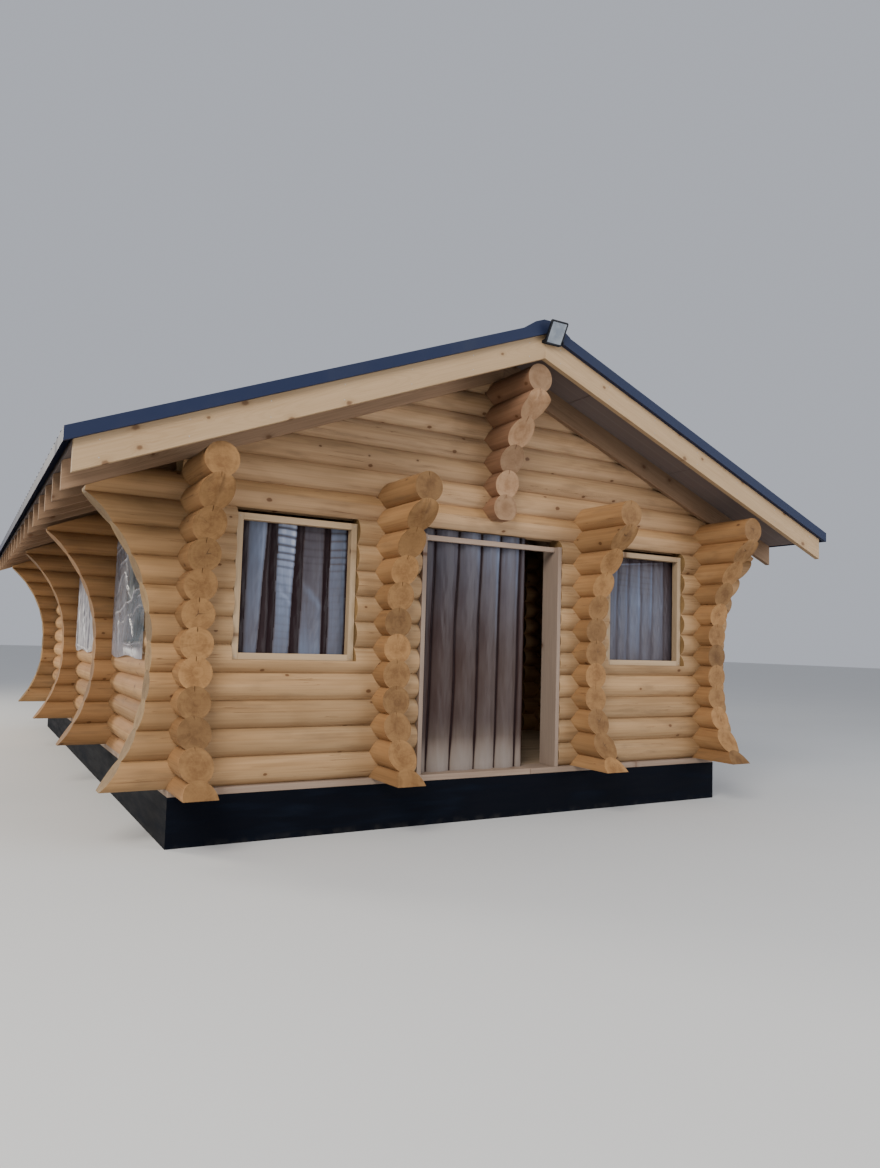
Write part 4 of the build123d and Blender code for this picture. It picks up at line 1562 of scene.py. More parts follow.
SIDES = ((-1, "left"), (1, "right"))
NAIL = (0.0045, 0.0025, 0.0003)
ROOF_SCREW = (0.008, 0.005, 0.0045)
RIM_SCREW = (0.0034, 0.0024, 0.001)
BOLT = (0.0075, 0.0055, 0.004)
FACING_FRONT: Point = (math.pi / 2, 0.0, 0.0)
FACING_BACK: Point = (-math.pi / 2, 0.0, 0.0)


# Base


@dataclass
class Base:
    """The plinth, the boards on it and the floor."""

    rows: Repeater
    wall_out: Pair = (2.74, 4.345)
    width: float = 0.24
    foot: float = 0.36
    head: float = 0.41
    floor_reach: Pair = (2.4996, 4.1046)
    floor_boards: int = 59
    joint: float = 0.003
    front_joint: float = 0.42
    side_joints: Pair = (-1.36, 1.44)

    def build_sills(self) -> None:
        """Builds the boards between the plinth and the first logs."""
        pile = BoardPile(61)
        out_x, out_y = self.wall_out
        for side in (-1, 1):
            near, far = sorted((side * out_y, side * (out_y - self.width)))
            for start, end in ((-out_x, self.front_joint), (self.front_joint + self.joint, out_x)):
                pile.block((start, near, self.foot), (end, far, self.head), (1, 0, 0), 0.003)
            near, far = sorted((side * out_x, side * (out_x - self.width)))
            reach, half = out_y - self.width - HOUSE.gap, self.joint / 2
            ends = (-reach, *self.side_joints, reach)
            for start, end in zip(ends[:-1], ends[1:]):
                pile.block((near, start + half, self.foot), (far, end - half, self.head), (0, 1, 0), 0.003)
        plain_piece("sill_ring_boards", pile.mesh("sill_ring_boards"), SILL.make(), "sill_board", "sill_boards")

    def build_floor(self) -> None:
        """Builds the floor boards across the house."""
        reach_x, reach_y = self.floor_reach
        pitch = 2 * reach_y / self.floor_boards
        pile = BoardPile(62)
        pile.block((-reach_x, 0.0, self.foot), (reach_x, pitch - self.joint, self.head), (1, 0, 0), 0.002)
        finish = FLOOR.make()
        row = {"Count": self.floor_boards, "Start": (0.0, -reach_y + self.joint / 2, 0.0), "Step": (0.0, pitch, 0.0)}
        board = pile.mesh("floor_board", toned=False)
        self.rows.piece("floor_cross_boards", board, finish, "floor_board", "floor_deck", **row)

    def build(self) -> None:
        """Builds the base."""
        dress(["plinth"], BitumenFinish().make())
        self.build_sills()
        self.build_floor()


# Roof


@dataclass
class Roof:
    """Rafters, barge boards, deck panels, battens, and the metal covering with its screws."""

    rows: Repeater
    marks: Repeater
    eave_x: float = 3.55
    sheet_x: float = 3.61
    ridge_gap: float = 0.0002
    rafter_thickness: float = 0.05
    rafter_count: int = 16
    end_rafter_y: float = 4.3704
    barge_y: float = 4.955
    barge_thickness: float = 0.05
    barge_depth: float = 0.195
    panel_joints: Pair = (0.74, 2.02)
    panel_rows: int = 4
    panel_gap: float = 0.005
    batten_height: float = 0.07
    metal_thickness: float = 0.004
    rib_height: float = 0.018
    rib_foot: float = 0.058
    rib_crown: float = 0.026
    rib_pitch: float = 0.2
    rib_count: int = 49
    rib_start: float = 0.236
    rib_sink: float = 0.0008
    rib_short: float = 0.002
    cap_middle: float = 0.18
    cap_lift: float = 0.0143
    cap_slope: float = 0.28
    batten_screws: tuple[float, float, int] = (0.48875, 0.42875, 8)
    field_screws: tuple[float, float, int] = (-4.7, 0.4, 24)
    edge_screws: tuple[float, float, int] = (0.32, 0.4, 9)
    edge_y: float = 4.995
    cap_screws: tuple[float, float, int] = (-4.8, 0.6, 17)
    barge_nails: tuple[float, float, int] = (0.16, 0.54, 7)
    nail_depths: Pair = (0.045, 0.15)

    @property
    def plumb(self) -> float:
        """Length of a plumb line through a layer over its thickness."""
        return 1.0 / math.cos(HOUSE.pitch)

    @property
    def deck_top(self) -> float:
        """Level of the deck's top over a wall plate."""
        return HOUSE.deck_under + HOUSE.deck_thickness * self.plumb

    @property
    def sheet_top(self) -> float:
        """Level of the metal covering's top over a wall plate."""
        return self.deck_top + (self.batten_height + self.metal_thickness) * self.plumb

    @property
    def trim_top(self) -> float:
        """Level of the edge strips' top over a wall plate."""
        return self.sheet_top + self.metal_thickness * self.plumb

    @staticmethod
    def outline(side: int, y: float, levels: Pair, span: Pair) -> list[Point]:
        """Outline of a sloping board in a plane across the house.

        Args:
            side: -1 left of the ridge and 1 right of it.
            y: the plane's place.
            levels: the board's lower and upper level over a wall plate.
            span: its distances from the ridge.

        Returns:
            Its four corners.
        """
        (low, high), (near, far) = levels, span
        ends = ((near, low), (far, low), (far, high), (near, high))
        return [(side * x, y, HOUSE.roof_z(level, x)) for x, level in ends]

    @staticmethod
    def downhill(side: int) -> Point:
        """The direction down one side of the roof."""
        return (side * math.cos(HOUSE.pitch), 0.0, -math.sin(HOUSE.pitch))

    def build_rafters(self) -> None:
        """Builds the rafters of both sides."""
        finish = RAFTER.make()
        half = self.rafter_thickness / 2
        levels = (HOUSE.rafter_under, HOUSE.deck_under - HOUSE.gap)
        step = 2 * self.end_rafter_y / (self.rafter_count - 1)
        row = {"Count": self.rafter_count, "Start": (0.0, -self.end_rafter_y, 0.0), "Step": (0.0, step, 0.0)}
        for side, name in SIDES:
            pile = BoardPile(70)
            corners = self.outline(side, -half, levels, (self.ridge_gap, self.eave_x))
            pile.add(corners, (0, self.rafter_thickness, 0), self.downhill(side), 0.002)
            what = (pile.mesh("rafter", toned=False), finish, "rafter_board", f"{name}_rafters")
            self.rows.piece(f"{name}_rafter_boards", *what, Seed=3 + side, **row)

    def build_barges(self) -> None:
        """Builds the barge boards."""
        finish = BARGE.make()
        levels = (self.deck_top - self.barge_depth * self.plumb, self.deck_top - HOUSE.gap)
        for end, name in ((-1, "front"), (1, "back")):
            pile = BoardPile(75 + end)
            for side in (-1, 1):
                corners = self.outline(side, end * self.barge_y, levels, (self.ridge_gap, self.eave_x))
                pile.add(corners, (0, end * self.barge_thickness, 0), self.downhill(side), 0.002)
            plain_piece(f"{name}_barge_pair", pile.mesh("barge"), finish, "barge_board", f"{name}_barge_boards")

    def build_decks(self) -> None:
        """Builds the large panels over the rafters."""
        finish = DECK.make()
        reach = self.barge_y - HOUSE.seat_gap
        length = 2 * reach / self.panel_rows
        levels = (HOUSE.deck_under, self.deck_top - HOUSE.gap)
        half = self.panel_gap / 2
        row = {"Count": self.panel_rows, "Start": (0.0, -reach, 0.0), "Step": (0.0, length, 0.0)}
        one, two = self.panel_joints
        for side, name in SIDES:
            pile = BoardPile(80)
            for span in ((self.ridge_gap, one - half), (one + half, two - half), (two + half, self.eave_x)):
                corners = self.outline(side, half, levels, span)
                pile.add(corners, (0, length - self.panel_gap, 0), (0, 1, 0), 0.0025)
            what = (pile.mesh("panels", toned=False), finish, "deck_board", f"{name}_roof_deck")
            self.rows.piece(f"{name}_roof_panels", *what, Seed=7 + side, **row)

    def build_ribs(self, finish: Material) -> None:
        """Builds the ribs of the metal covering.

        Args:
            finish: the covering's material.
        """
        start = HOUSE.roof_z(self.sheet_top - self.rib_sink, self.rib_start)
        run = self.sheet_x - self.rib_short - self.rib_start
        rise = self.rib_height * self.plumb
        first = (0.0, -self.rib_pitch * (self.rib_count - 1) / 2, 0.0)
        row = {"Count": self.rib_count, "Start": first, "Step": (0.0, self.rib_pitch, 0.0)}
        for side, name in SIDES:
            pile = BoardPile(85)
            half, crown = self.rib_foot / 2, self.rib_crown / 2
            section = ((-half, 0.0), (half, 0.0), (crown, rise), (-crown, rise))
            corners = [(side * self.rib_start, y, start + z) for y, z in section]
            pile.add(corners, (side * run, 0, -run * HOUSE.slope), self.downhill(side), 0.0015)
            self.rows.piece(f"{name}_roof_ribs", pile.mesh("rib", toned=False), finish, "roof_metal", **row)

    def screw_places(self) -> list[Spot]:
        """Places of the screws in the covering, its edge strips and the ridge cap.

        Returns:
            Each place with its turn.
        """
        found = []
        for side in (-1, 1):
            tilt = (0.0, side * HOUSE.pitch, 0.0)
            for x in spaced(*self.batten_screws):
                z = HOUSE.roof_z(self.sheet_top, x)
                found.extend(((side * x, y, z), tilt) for y in spaced(*self.field_screws))
            for x in spaced(*self.edge_screws):
                z = HOUSE.roof_z(self.trim_top, x)
                found.extend(((side * x, y, z), tilt) for y in (-self.edge_y, self.edge_y))
            steep = (0.0, side * math.atan(HOUSE.slope + self.cap_slope), 0.0)
            cap_z = HOUSE.roof_z(self.trim_top + self.cap_lift + self.metal_thickness * self.plumb, self.cap_middle)
            found.extend(((side * self.cap_middle, y, cap_z), steep) for y in spaced(*self.cap_screws))
        return found

    def build_fixings(self) -> None:
        """Builds the roof screws and the nail heads in the barge boards."""
        finish, screw = SCREW_METAL.make(), screw_shape(*ROOF_SCREW)
        self.marks.piece("roof_screws", screw, finish, "roof_metal", spots=self.screw_places())
        finish = ZINC.make()
        found = []
        face = self.barge_y + self.barge_thickness
        for side in (-1, 1):
            for x in spaced(*self.barge_nails):
                for depth in self.nail_depths:
                    z = HOUSE.roof_z(self.deck_top - depth * self.plumb, x)
                    found.append(((side * x, -face, z), FACING_FRONT))
                    found.append(((side * x, face, z), FACING_BACK))
        self.marks.piece("barge_nail_heads", screw_shape(*NAIL), finish, "roof_metal", spots=found)

    def build(self) -> None:
        """Builds the roof."""
        self.build_rafters()
        self.build_barges()
        self.build_decks()
        dress(["roof_battens"], BATTEN.make())
        metal = ROOF_METAL.make()
        sheets = ["left_roof_sheet", "right_roof_sheet", "ridge_cap"]
        dress([*sheets, "front_verge_trims", "back_verge_trims", "eave_trims"], metal)
        self.build_ribs(metal)
        self.build_fixings()


# Window and door timber


@dataclass
class Joinery:
    """The batten frames in the windows and the timber of the doorway."""

    marks: Repeater
    face: float = 0.05
    mitre: float = 0.0005
    front_centre: float = 1.82
    front_width: float = 0.99
    front_y: Pair = (-4.295, -4.225)
    side_centres: Pair = (-2.415, 0.415)
    side_width: float = 1.14
    side_x: Pair = (-2.69, -2.62)
    foot: float = 1.3403
    front_head: float = 2.45
    side_head: float = 2.346
    jamb_x: Pair = (0.695, 0.735)
    jamb_y: Pair = (-4.34, -4.11)
    jamb_z: Pair = (0.4103, 2.424)
    batten_y: Pair = (-4.285, -4.245)
    batten_foot: float = 2.379
    nail_in: float = 0.035
    nail_up: float = 0.022

    def frame(
        self, pile: BoardPile, centre: float, width: float, head: float, placed: Callable[..., Point], run: Point
    ) -> None:
        """Adds the four battens of one frame.

        Args:
            pile: what they are added to.
            centre: the frame's middle along its wall.
            width: its width.
            head: the height of its top.
            placed: turns a place along the wall, a side of the frame and a height into a point.
            run: the direction of the wall.
        """
        left, right = centre - width / 2, centre + width / 2
        inner = (left + self.face + self.mitre, right - self.face - self.mitre)
        upright = [(start, start + self.face, self.foot, head) for start in (left, right - self.face)]
        level = [(*inner, low, low + self.face) for low in (self.foot, head - self.face)]
        for ends, along in ((upright, (0, 0, 1)), (level, run)):
            for start, end, low, high in ends:
                one, two = placed(start, 0, low), placed(end, 1, high)
                pile.block(tuple(map(min, one, two)), tuple(map(max, one, two)), along)

    def build(self) -> None:
        """Builds all of it."""
        finish, zinc = FRAME.make(), ZINC.make()
        screws = []
        pile = BoardPile(91)
        for centre in (-self.front_centre, self.front_centre):
            placed = lambda a, s, z: (a, self.front_y[s], z)
            self.frame(pile, centre, self.front_width, self.front_head, placed, (1, 0, 0))
            for across in (-1, 1):
                x = centre + across * (self.front_width - self.face) / 2
                heights = (self.foot + self.face / 2, self.front_head - self.face / 2)
                screws.extend(((x, self.front_y[0], z), FACING_FRONT) for z in heights)
        plain_piece("front_window_battens", pile.mesh("battens"), finish, "frame_batten", "front_window_frames")
        for side, name in ((1, "left"), (-1, "right")):
            pile = BoardPile(92 + side)
            for centre in self.side_centres:
                placed = lambda a, s, z, side=side: (side * self.side_x[s], a, z)
                self.frame(pile, centre, self.side_width, self.side_head, placed, (0, 1, 0))
            mesh = pile.mesh("battens")
            plain_piece(f"{name}_window_battens", mesh, finish, "frame_batten", f"{name}_window_frames")
        pile = BoardPile(97)
        for side in (-1, 1):
            start, end = sorted(side * x for x in self.jamb_x)
            pile.block((start, self.jamb_y[0], self.jamb_z[0]), (end, self.jamb_y[1], self.jamb_z[1]), (0, 0, 1))
        inner = self.jamb_x[0]
        pile.block((-inner, self.batten_y[0], self.batten_foot), (inner, self.batten_y[1], self.jamb_z[1]), (1, 0, 0))
        x, z = inner - self.nail_in, self.batten_foot + self.nail_up
        screws.extend(((side * x, self.batten_y[0], z), FACING_FRONT) for side in (-1, 1))
        plain_piece("door_jambs_and_batten", pile.mesh("battens"), JAMB.make(), "frame_batten", "door_frame")
        self.marks.piece("frame_screw_heads", screw_shape(*NAIL), zinc, "roof_metal", spots=screws)


# Film


@dataclass(frozen=True)
class Panel:
    """A strip of film between two folds, placed by shares of the film's width.

    Its shades at the top, the middle, low down and at the foot run from 0, dark with the painted shade of the room
    behind, to 1, doubled up and white. Its highlight is a painted highlight beside its right fold, and its ladder
    paints shade into fine level crinkles.
    """

    top: float
    foot: float
    bulge: float
    shades: tuple[float, float, float, float]
    lit: float = 0.0
    ladder: float = 0.0


@dataclass(frozen=True)
class Crease:
    """A fold that runs across a film, between two places in shares of its width and drop.

    Its shade is painted along it: a painted highlight above 0 and painted shade below 0, with painted shadow on its lee
    side.
    """

    start: Pair
    end: Pair
    rise: float
    width: float
    shade: float


def panels(*rows: tuple[object, ...]) -> tuple[Panel, ...]:
    """The strips of one film, from a row for each."""
    return tuple(Panel(*row) for row in rows)


def creases(*rows: tuple[object, ...]) -> tuple[Crease, ...]:
    """The folds across one film, from a row for each."""
    return tuple(Crease(*row) for row in rows)


# In these tables the shades of strips and folds paint light and shade into the film: the dark of the room behind,
# painted shade in folds and painted highlights on them, besides pale doubled film.
DOOR_PLEATS = panels(
    (0.0, 0.0, 0.022, (0.40, 0.26, 0.30, 0.58), 0.04),
    (0.133, 0.105, 0.036, (0.46, 0.30, 0.36, 0.72), 0.05),
    (0.350, 0.318, 0.040, (0.52, 0.33, 0.38, 0.74), 0.12),
    (0.563, 0.535, 0.042, (0.56, 0.37, 0.42, 0.76), 0.24),
    (0.755, 0.728, 0.036, (0.56, 0.38, 0.42, 0.72), 0.15),
    (0.942, 0.920, 0.016, (0.42, 0.28, 0.32, 0.60), 0.05),
)
# a fold just under the door's head batten, painted darker as the batten's shadow
DOOR_BAND = creases(((0.05, 0.045), (0.95, 0.05), -0.006, 0.012, -0.14))
LEFT_PLEATS = panels(
    (0.0, 0.0, 0.004, (0.06, 0.08, 0.08, 0.10)),
    (0.10, 0.09, 0.014, (0.70, 0.62, 0.56, 0.60), 0.06),
    (0.259, 0.21, 0.006, (0.20, 0.18, 0.16, 0.18)),
    (0.287, 0.29, 0.004, (0.02, 0.02, 0.04, 0.06)),
    (0.351, 0.345, 0.020, (0.88, 0.78, 0.62, 0.62), 0.06, 0.42),
    (0.521, 0.48, 0.006, (0.03, 0.02, 0.06, 0.08)),
    (0.574, 0.57, 0.018, (0.40, 0.46, 0.62, 0.68), 0.05, 0.08),
    (0.771, 0.765, 0.005, (0.02, 0.02, 0.04, 0.06)),
    (0.824, 0.82, 0.014, (0.70, 0.63, 0.56, 0.60), 0.10, 0.22),
    (0.972, 0.975, 0.003, (0.26, 0.2, 0.2, 0.2)),
)
LEFT_SLACK = creases(
    ((0.55, 0.42), (0.78, 0.66), 0.006, 0.03, 0.10),
    ((0.36, 0.5), (0.5, 0.62), 0.005, 0.02, 0.08),
)
RIGHT_PLEATS = panels(
    (0.0, 0.0, 0.006, (0.30, 0.42, 0.40, 0.40)),
    (0.06, 0.05, 0.015, (0.42, 0.58, 0.54, 0.5), 0.14),
    (0.21, 0.19, 0.017, (0.44, 0.60, 0.52, 0.5), 0.12, 0.05),
    (0.36, 0.35, 0.018, (0.46, 0.66, 0.54, 0.5), 0.15, 0.03),
    (0.53, 0.53, 0.018, (0.46, 0.58, 0.50, 0.5), 0.16, 0.05),
    (0.71, 0.70, 0.012, (0.44, 0.56, 0.50, 0.48), 0.06),
    (0.87, 0.87, 0.005, (0.22, 0.36, 0.34, 0.30)),
)
# The right film's top: a painted shadow band under the frame's head, and a bright slanting line below it.
RIGHT_HEAD_SHADOW_BANDS = creases(
    ((0.0, 0.02), (1.0, 0.02), -0.004, 0.06, -0.3),
    ((0.05, 0.10), (0.9, 0.03), 0.004, 0.008, 0.3),
)
TEAL_PLEATS = panels(
    (0.0, 0.0, 0.010, (0.54, 0.42, 0.44, 0.72), 0.05),
    (0.30, 0.36, 0.012, (0.50, 0.42, 0.46, 0.72), 0.06),
    (0.55, 0.60, 0.012, (0.58, 0.50, 0.58, 0.62), 0.08),
    (0.80, 0.82, 0.010, (0.62, 0.56, 0.62, 0.64), 0.06),
)
TEAL_CREASES = creases(
    ((0.30, 0.07), (0.82, 0.27), 0.014, 0.011, 0.40),
    ((0.48, 0.03), (0.95, 0.14), 0.010, 0.010, 0.30),
    ((0.66, 0.02), (0.98, 0.09), 0.008, 0.009, 0.26),
    ((0.08, 0.44), (0.58, 0.57), 0.018, 0.013, 0.62),
    ((0.55, 0.56), (0.88, 0.63), 0.014, 0.012, 0.46),
    ((0.03, 0.48), (0.18, 0.54), 0.010, 0.010, 0.50),
    ((0.64, 0.30), (0.38, 0.50), 0.010, 0.009, 0.30),
    ((0.92, 0.52), (0.60, 0.30), 0.010, 0.012, 0.24),
    ((0.42, 0.67), (0.02, 0.60), 0.010, 0.010, 0.28),
    ((0.42, 0.67), (0.26, 0.84), 0.010, 0.010, 0.30),
    ((0.42, 0.67), (0.70, 0.72), 0.010, 0.011, 0.28),
    ((0.42, 0.67), (0.60, 0.88), 0.010, 0.010, 0.26),
    ((0.74, 0.66), (0.70, 0.95), 0.012, 0.014, 0.30),
    ((0.02, 0.88), (0.62, 0.90), 0.016, 0.016, 0.40),
    ((0.05, 0.96), (0.58, 0.95), 0.008, 0.040, 0.55),
    ((0.22, 0.90), (0.17, 0.99), -0.008, 0.008, -0.30),
    ((0.50, 0.40), (0.02, 0.36), -0.006, 0.095, -0.30),
    ((0.30, 0.77), (0.0, 0.73), -0.006, 0.090, -0.32),
    ((0.44, 0.12), (0.22, 0.32), -0.008, 0.070, -0.34),
    ((0.78, 0.80), (0.80, 0.90), -0.006, 0.016, -0.20),
)
MILKY_PLEATS = tuple(
    Panel(
        top=edge,
        foot=edge + 0.03 * (i % 3 - 1) * (i > 0),
        bulge=0.012 + 0.004 * (i % 3),
        shades=(0.5, 0.80 - 0.06 * (i % 2), 0.84, 0.82),
        lit=0.12,
    )
    for i, edge in enumerate((0.0, 0.085, 0.20, 0.27, 0.40, 0.47, 0.60, 0.68, 0.81, 0.90))
)
MILKY_CREASES = creases(
    ((0.10, 0.05), (0.30, 0.42), 0.010, 0.016, 0.24),
    ((0.45, 0.02), (0.60, 0.50), 0.010, 0.014, 0.22),
    ((0.30, 0.27), (0.85, 0.22), 0.014, 0.026, 0.26),
    ((0.62, 0.40), (0.40, 0.92), 0.010, 0.013, 0.26),
    ((0.85, 0.35), (0.72, 0.85), 0.010, 0.012, 0.24),
    ((0.20, 0.50), (0.26, 0.90), -0.010, 0.013, -0.30),
    ((0.50, 0.55), (0.53, 0.80), -0.010, 0.012, -0.34),
    ((0.02, 0.97), (0.98, 0.95), 0.010, 0.014, 0.20),
)


@dataclass(frozen=True)
class Film:
    """One sheet of polythene, gathered or hung in an opening."""

    name: str
    node: str
    corner: Point
    across: Point
    out: Point
    size: Pair
    flat: Pair
    finish: Material
    rests_on: str
    panels: tuple[Panel, ...]
    creases: tuple[Crease, ...]
    seed: int
    # painted shade in the folds between strips
    fold_dark: float
    sway: float
    held: str = "hung"
    over: bool = False
    fold_width: float = 0.010
    rung: float = 0.062
    ripple: float = 0.0012
    edge: float = 0.0
    ragged: float = 0.0
    bend: float = 0.004
    grid: tuple[int, int] = (190, 130)
    clearance: float = 0.0006

    @staticmethod
    def waves(u: Array, v: Array, count: int, reach: Pair, random: np.random.Generator) -> Array:
        """A sum of random waves.

        Args:
            u: shares of the width.
            v: shares of the drop.
            count: how many waves there are.
            reach: the most periods across and down.
            random: where the draws come from.

        Returns:
            Numbers of about -1 to 1.
        """
        total = np.zeros_like(u)
        for _ in range(count):
            across, down = (random.uniform(-most, most) for most in reach)
            total += np.sin(2 * math.pi * (across * u + down * v) + random.uniform(0, 6.28))
        return total / math.sqrt(count)

    def pleat(self, panel: Panel, share: Array, wide: Array, u: Array, v: Array) -> list[Array]:
        """Works out one strip between two folds.

        Args:
            panel: the strip.
            share: places between its folds, as shares.
            wide: its width, in metres.
            u: shares of the film's width.
            v: shares of its drop.

        Returns:
            The depth and the shade that the strip would give all over the film.
        """
        shade = np.interp(v, [0, 0.45, 0.86, 0.97], panel.shades)
        # painted highlight beside the strip's right fold, strongest near the top
        lit = panel.lit * np.interp(v, [0, 0.1, 0.45, 0.8], [0.5, 1.0, 0.8, 0.15])
        shade = shade + lit * np.exp(-(((share - 0.84) / 0.12) ** 2))
        turns = 2 * math.pi * v * self.size[1] / self.rung + 1.2 * np.sin(7 * u) + 0.8 * np.sin(23 * v)
        rungs = (0.5 + 0.5 * np.cos(turns)) ** 5
        ladder = panel.ladder * rungs * np.interp(v, [0, 0.28, 0.4, 1], [1.0, 0.8, 0.15, 0.06])
        near = np.minimum(share, 1 - share) * wide
        # painted shade in the ladder's crinkles and in the folds at the strip's edges
        shade = shade - ladder - self.fold_dark * np.exp(-((near / self.fold_width) ** 2))
        return [panel.bulge * (1 - np.abs(2 * share - 1) ** 2.4) - 0.02 * ladder, shade]

    def fold(self, crease: Crease, across: Array, down: Array) -> list[Array]:
        """Works out one fold that runs across the film.

        Args:
            crease: the fold.
            across: places across the film, in metres.
            down: places down the film, in metres.

        Returns:
            What the fold adds to the depth and to the shade.
        """
        width, drop = self.size
        ax, ay = crease.start[0] * width, crease.start[1] * drop
        bx, by = crease.end[0] * width - ax, crease.end[1] * drop - ay
        along = np.clip(((across - ax) * bx + (down - ay) * by) / (bx * bx + by * by), 0, 1)
        off = np.hypot(across - ax - along * bx, down - ay - along * by)
        side = ((across - ax) * by - (down - ay) * bx) / math.hypot(bx, by)
        taper = np.sin(along * math.pi) ** 0.6
        fade = np.exp(-((off / crease.width) ** 2)) * taper
        # painted shadow in a band on the fold's lee side
        lee = np.exp(-(((side - 1.7 * crease.width) / crease.width) ** 2)) * taper * (off < 4 * crease.width)
        return [crease.rise * fade, crease.shade * fade - 0.35 * abs(crease.shade) * lee]

    def drape(self) -> tuple[Array, Array, Array, Array]:
        """Works out the folds.

        Returns:
            Shares of the width and the drop, the depth and the shade, each on a grid.
        """
        random, (width, drop) = np.random.default_rng(self.seed), self.size
        u, v = np.meshgrid(*(np.linspace(0, 1, count + 1) for count in self.grid))
        edges = []
        for index, panel in enumerate(self.panels):
            wave = self.waves(v * 0, v, 3, (0.0, 2.2), random)
            edges.append(panel.top + (panel.foot - panel.top) * v + (self.sway * wave if index else 0.0))
        edges.append(np.ones_like(u))
        relief = np.zeros((2, *u.shape))
        for panel, left, right in zip(self.panels, edges[:-1], edges[1:]):
            share = (u - left) / np.maximum(right - left, 1e-4)
            strip = self.pleat(panel, share, (right - left) * width, u, v)
            relief = np.where((share >= 0) & (share <= 1), strip, relief)
        across, down = (a * b + self.bend * self.waves(u, v, 4, (3.0, 2.5), random) for a, b in ((u, width), (v, drop)))
        for crease in self.creases:
            relief += self.fold(crease, across, down)
        depth, shade = relief
        depth = depth + self.ripple * self.waves(u, v, 16, (24.0, 8.0), random)
        if self.edge:
            rim = np.minimum.reduce([u * width, (1 - u) * width, v * drop, (1 - v) * drop])
            depth = depth * np.clip(rim / self.edge, 0.0, 1.0)
        if self.ragged:
            low, far = (self.waves(a, a * 0, 3, (2.6, 0.0), random) for a in (u, v))
            u, v = u * (1 - self.ragged * (far - far.min()) * u**5), v * (1 - self.ragged * (low - low.min()) * v**8)
        return u, v, depth, shade

    def build(self) -> None:
        u, v, depth, shade = self.drape()
        depth = depth - depth.min() + self.clearance if self.over else depth - depth.max() - self.clearance
        width, drop = self.size
        points = np.array(self.corner) + (u * width)[..., None] * np.array(self.across)
        points += depth[..., None] * np.array(self.out) - (v * drop)[..., None] * np.array([0.0, 0.0, 1.0])
        columns, rows = self.grid
        step = columns + 1
        firsts = [row * step + column for row in range(rows) for column in range(columns)]
        faces = [(first, first + step, first + step + 1, first + 1) for first in firsts]
        if Vector(self.across).cross(Vector(self.out)).z > 0:
            faces = [face[::-1] for face in faces]
        mesh = bpy.data.meshes.new(self.name)
        mesh.from_pydata(points.reshape(-1, 3).tolist(), [], faces)
        mark(mesh, "lie", np.stack([u * width, v * drop, shade], axis=-1).reshape(-1, 3))
        mesh.shade_smooth()
        piece = plain_piece(self.name, mesh, self.finish, "film", self.node)
        area, flat = sum(polygon.area for polygon in mesh.polygons), self.flat[0] * self.flat[1]
        LOG.info("%s: %.3f m2 of %.3f m2 flat, %.0f mm deep", self.name, area, flat, 1000 * np.ptp(depth))


